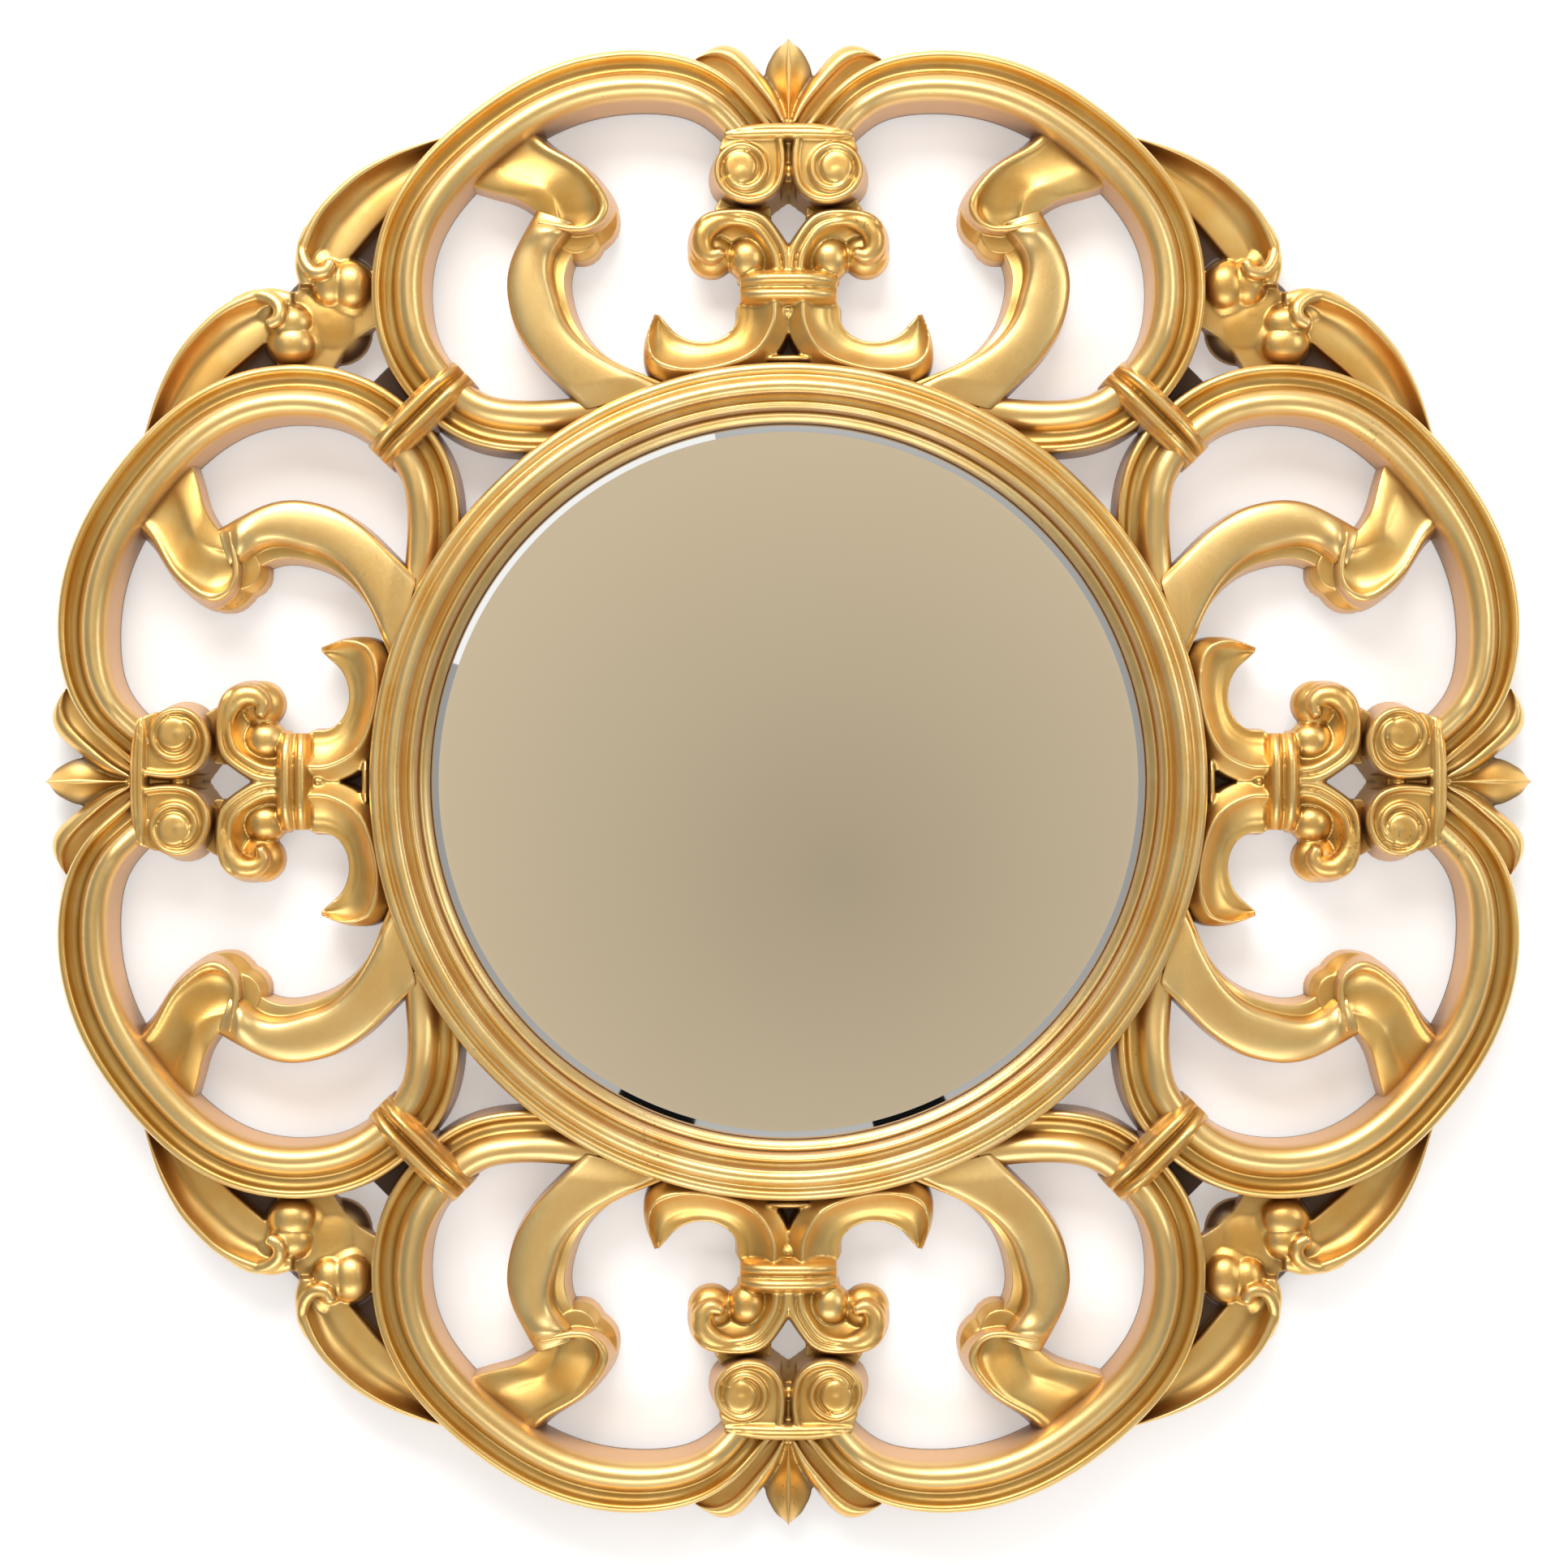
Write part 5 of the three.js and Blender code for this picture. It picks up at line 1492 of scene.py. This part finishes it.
def room_card(studio):
    """A plain warm card far in front, which the glass shows as the room: lighter to the upper left."""
    material, add = new_material("room_card_paint")
    place_in = add("TexCoord").outputs["Generated"]
    away = add("VectorMath", {0: place_in, 1: (0.563, 0.0, 0.384)}, operation="SUBTRACT")
    flat = add("VectorMath", {0: away, 1: (1, 0, 1)}, operation="MULTIPLY")
    reach = add("VectorMath", {0: flat}, operation="LENGTH")
    fade = add("MapRange", {"Value": reach, "From Min": 0.55, "From Max": 0.0})
    colour = add("Mix", {0: fade, 6: studio.room_light, 7: studio.room_dark}, data_type="RGBA")
    glow = add("Emission", {"Color": colour, "Strength": 1.0})
    add("OutputMaterial", {"Surface": glow})
    corners = [
        (ROOM_RADIUS * math.cos(a), -ROOM_DISTANCE, ROOM_RADIUS * math.sin(a)) for a in around(64)
    ]
    hide_card(stage_sheet("room_card", corners, material))


def arc_card(name, depth, reach, angles, shade):
    """A card cut as part of a wide ring in front of the mirror, which shows in the bevel as an arc.
    Angles are clockwise from the top, in degrees."""
    material, add = new_material(name + "_cloth")
    nap = add("TexNoise", {"Scale": per_metre(3)})
    colour = add("Mix", {0: nap, 6: (shade,) * 3, 7: (shade * 1.1,) * 3}, data_type="RGBA")
    light = add("Emission", {"Color": colour, "Strength": 1.0})
    add("OutputMaterial", {"Surface": light})
    turn = np.radians(np.linspace(*angles, ARC_STEPS + 1))
    corners = [(r * math.sin(a), depth, r * math.cos(a)) for r in reach for a in turn]
    faces = [(i, i + 1, i + ARC_STEPS + 2, i + ARC_STEPS + 1) for i in range(ARC_STEPS)]
    hide_card(stage_sheet(name, corners, material, faces), lights=False)


class MIRROR_OT_studio(bpy.types.Operator):
    """Set up the wall, floor, lights and camera"""
    bl_idname = "mirror.studio"
    bl_label = "Studio"

    def execute(self, context):
        studio = context.scene.mirror.studio
        wall = painted("matt_wall_paint", studio.wall, 0.34)
        stage_sheet("wall", [
            (-WALL_HALF_WIDTH, WALL_Y, FLOOR_Z), (WALL_HALF_WIDTH, WALL_Y, FLOOR_Z),
            (WALL_HALF_WIDTH, WALL_Y, WALL_TOP), (-WALL_HALF_WIDTH, WALL_Y, WALL_TOP),
        ], wall)
        floor = painted("matt_floor_paint", studio.floor, 0.30)
        ground = stage_sheet("floor", [
            (-FLOOR_HALF_WIDTH, FLOOR_FRONT, FLOOR_Z), (FLOOR_HALF_WIDTH, FLOOR_FRONT, FLOOR_Z),
            (FLOOR_HALF_WIDTH, FLOOR_BACK, FLOOR_Z), (-FLOOR_HALF_WIDTH, FLOOR_BACK, FLOOR_Z),
        ], floor)
        ground.visible_glossy = False
        room_card(studio)
        for name, sizes in ARCS.items():
            arc_card(name, *sizes)

        world = bpy.data.worlds.new("studio_air")
        context.scene.world = world
        world.use_nodes = True
        world.node_tree.nodes.clear()
        add = partial(add_node, world.node_tree)
        # The camera sees plain white; the mirror is lit by a dimmer room, brighter above and below
        # than at the sides.
        heading = add("TexCoord").outputs["Generated"]
        squared = add("VectorMath", {0: heading, 1: heading}, operation="MULTIPLY")
        slant = add("VectorMath", {0: squared, 1: (-1.0, 0.0, 1.0)}, operation="DOT_PRODUCT")
        level = add("MapRange", {
            "Value": slant, "From Min": -0.5, "From Max": 0.75, "To Min": 0.3,
            "To Max": 0.74,
        }, interpolation_type="SMOOTHSTEP")
        ray = add("LightPath")
        seen = add("Mix", {0: ray.outputs["Is Camera Ray"], 2: level, 3: 1.0}, data_type="FLOAT")
        air = add("Background", {"Color": (1, 1, 1), "Strength": seen})
        add("OutputWorld", {"Surface": air})

        soft_light("window_light", (-0.55, -1.9, 2.3), (2.4, 1.3), studio.key_power, (1, 0.985, 0.96))
        soft_light("side_light", (2.5, -1.9, 0.9), (1.0, 1.6), studio.fill_power)
        soft_light("low_light", (-0.2, -2.1, -2.5), (2.4, 0.9), studio.low_power)
        soft_light("back_light", (0.9, 2.4, 1.6), (1.8, 1.8), studio.back_power)

        lens = bpy.data.cameras.new("view")
        lens.sensor_width = SENSOR_WIDTH
        lens.lens = SENSOR_WIDTH * VIEW_DISTANCE / VIEW_WIDTH
        lens.shift_x = -OBJECT_RIGHT_PIXELS / PICTURE_PIXELS
        lens.shift_y = -OBJECT_UP_PIXELS / PICTURE_PIXELS
        camera = bpy.data.objects.new("view", lens)
        camera.location = (0, VIEW_PLANE - VIEW_DISTANCE, 0)
        camera.rotation_euler = (math.pi / 2, 0, 0)
        context.scene.collection.objects.link(camera)
        context.scene.camera = camera
        context.scene.view_settings.view_transform = "Standard"
        return {"FINISHED"}


# ---- Panel and registration -----------------------------------------------------------------------

STEPS = (
    MIRROR_OT_studio, MIRROR_OT_ring, MIRROR_OT_glass, MIRROR_OT_scrolls, MIRROR_OT_branches,
    MIRROR_OT_crests, MIRROR_OT_volute_caps, MIRROR_OT_fleurons, MIRROR_OT_diagonals,
    MIRROR_OT_board, MIRROR_OT_board_screws, MIRROR_OT_hangers,
)
GROUPS = (GildingSettings, CarvingSettings, GlassSettings, FittingSettings, StudioSettings)


class MIRROR_PT_panel(bpy.types.Panel):
    """The mirror's pieces and settings"""
    bl_idname = "MIRROR_PT_panel"
    bl_label = "Scroll Mirror"
    bl_space_type = "VIEW_3D"
    bl_region_type = "UI"
    bl_category = "Mirror"

    def draw(self, context):
        for step in STEPS:
            self.layout.operator(step.bl_idname)
        for name in ("gilding", "carving", "glass", "fittings", "studio"):
            group = getattr(context.scene.mirror, name)
            box = self.layout.box()
            box.label(text=name.capitalize())
            for field in group.bl_rna.properties:
                if not field.is_readonly and field.identifier != "name":
                    box.prop(group, field.identifier)


CLASSES = (*GROUPS, MirrorSettings, *STEPS, MIRROR_PT_panel)


def register():
    for cls in CLASSES:
        bpy.utils.register_class(cls)
    bpy.types.Scene.mirror = bpy.props.PointerProperty(type=MirrorSettings, name="Mirror")


def unregister():
    del bpy.types.Scene.mirror
    for cls in reversed(CLASSES):
        bpy.utils.unregister_class(cls)


def main():
    register()
    for step in STEPS:
        group, name = step.bl_idname.split(".")
        getattr(getattr(bpy.ops, group), name)()


if __name__ == "__main__":
    main()
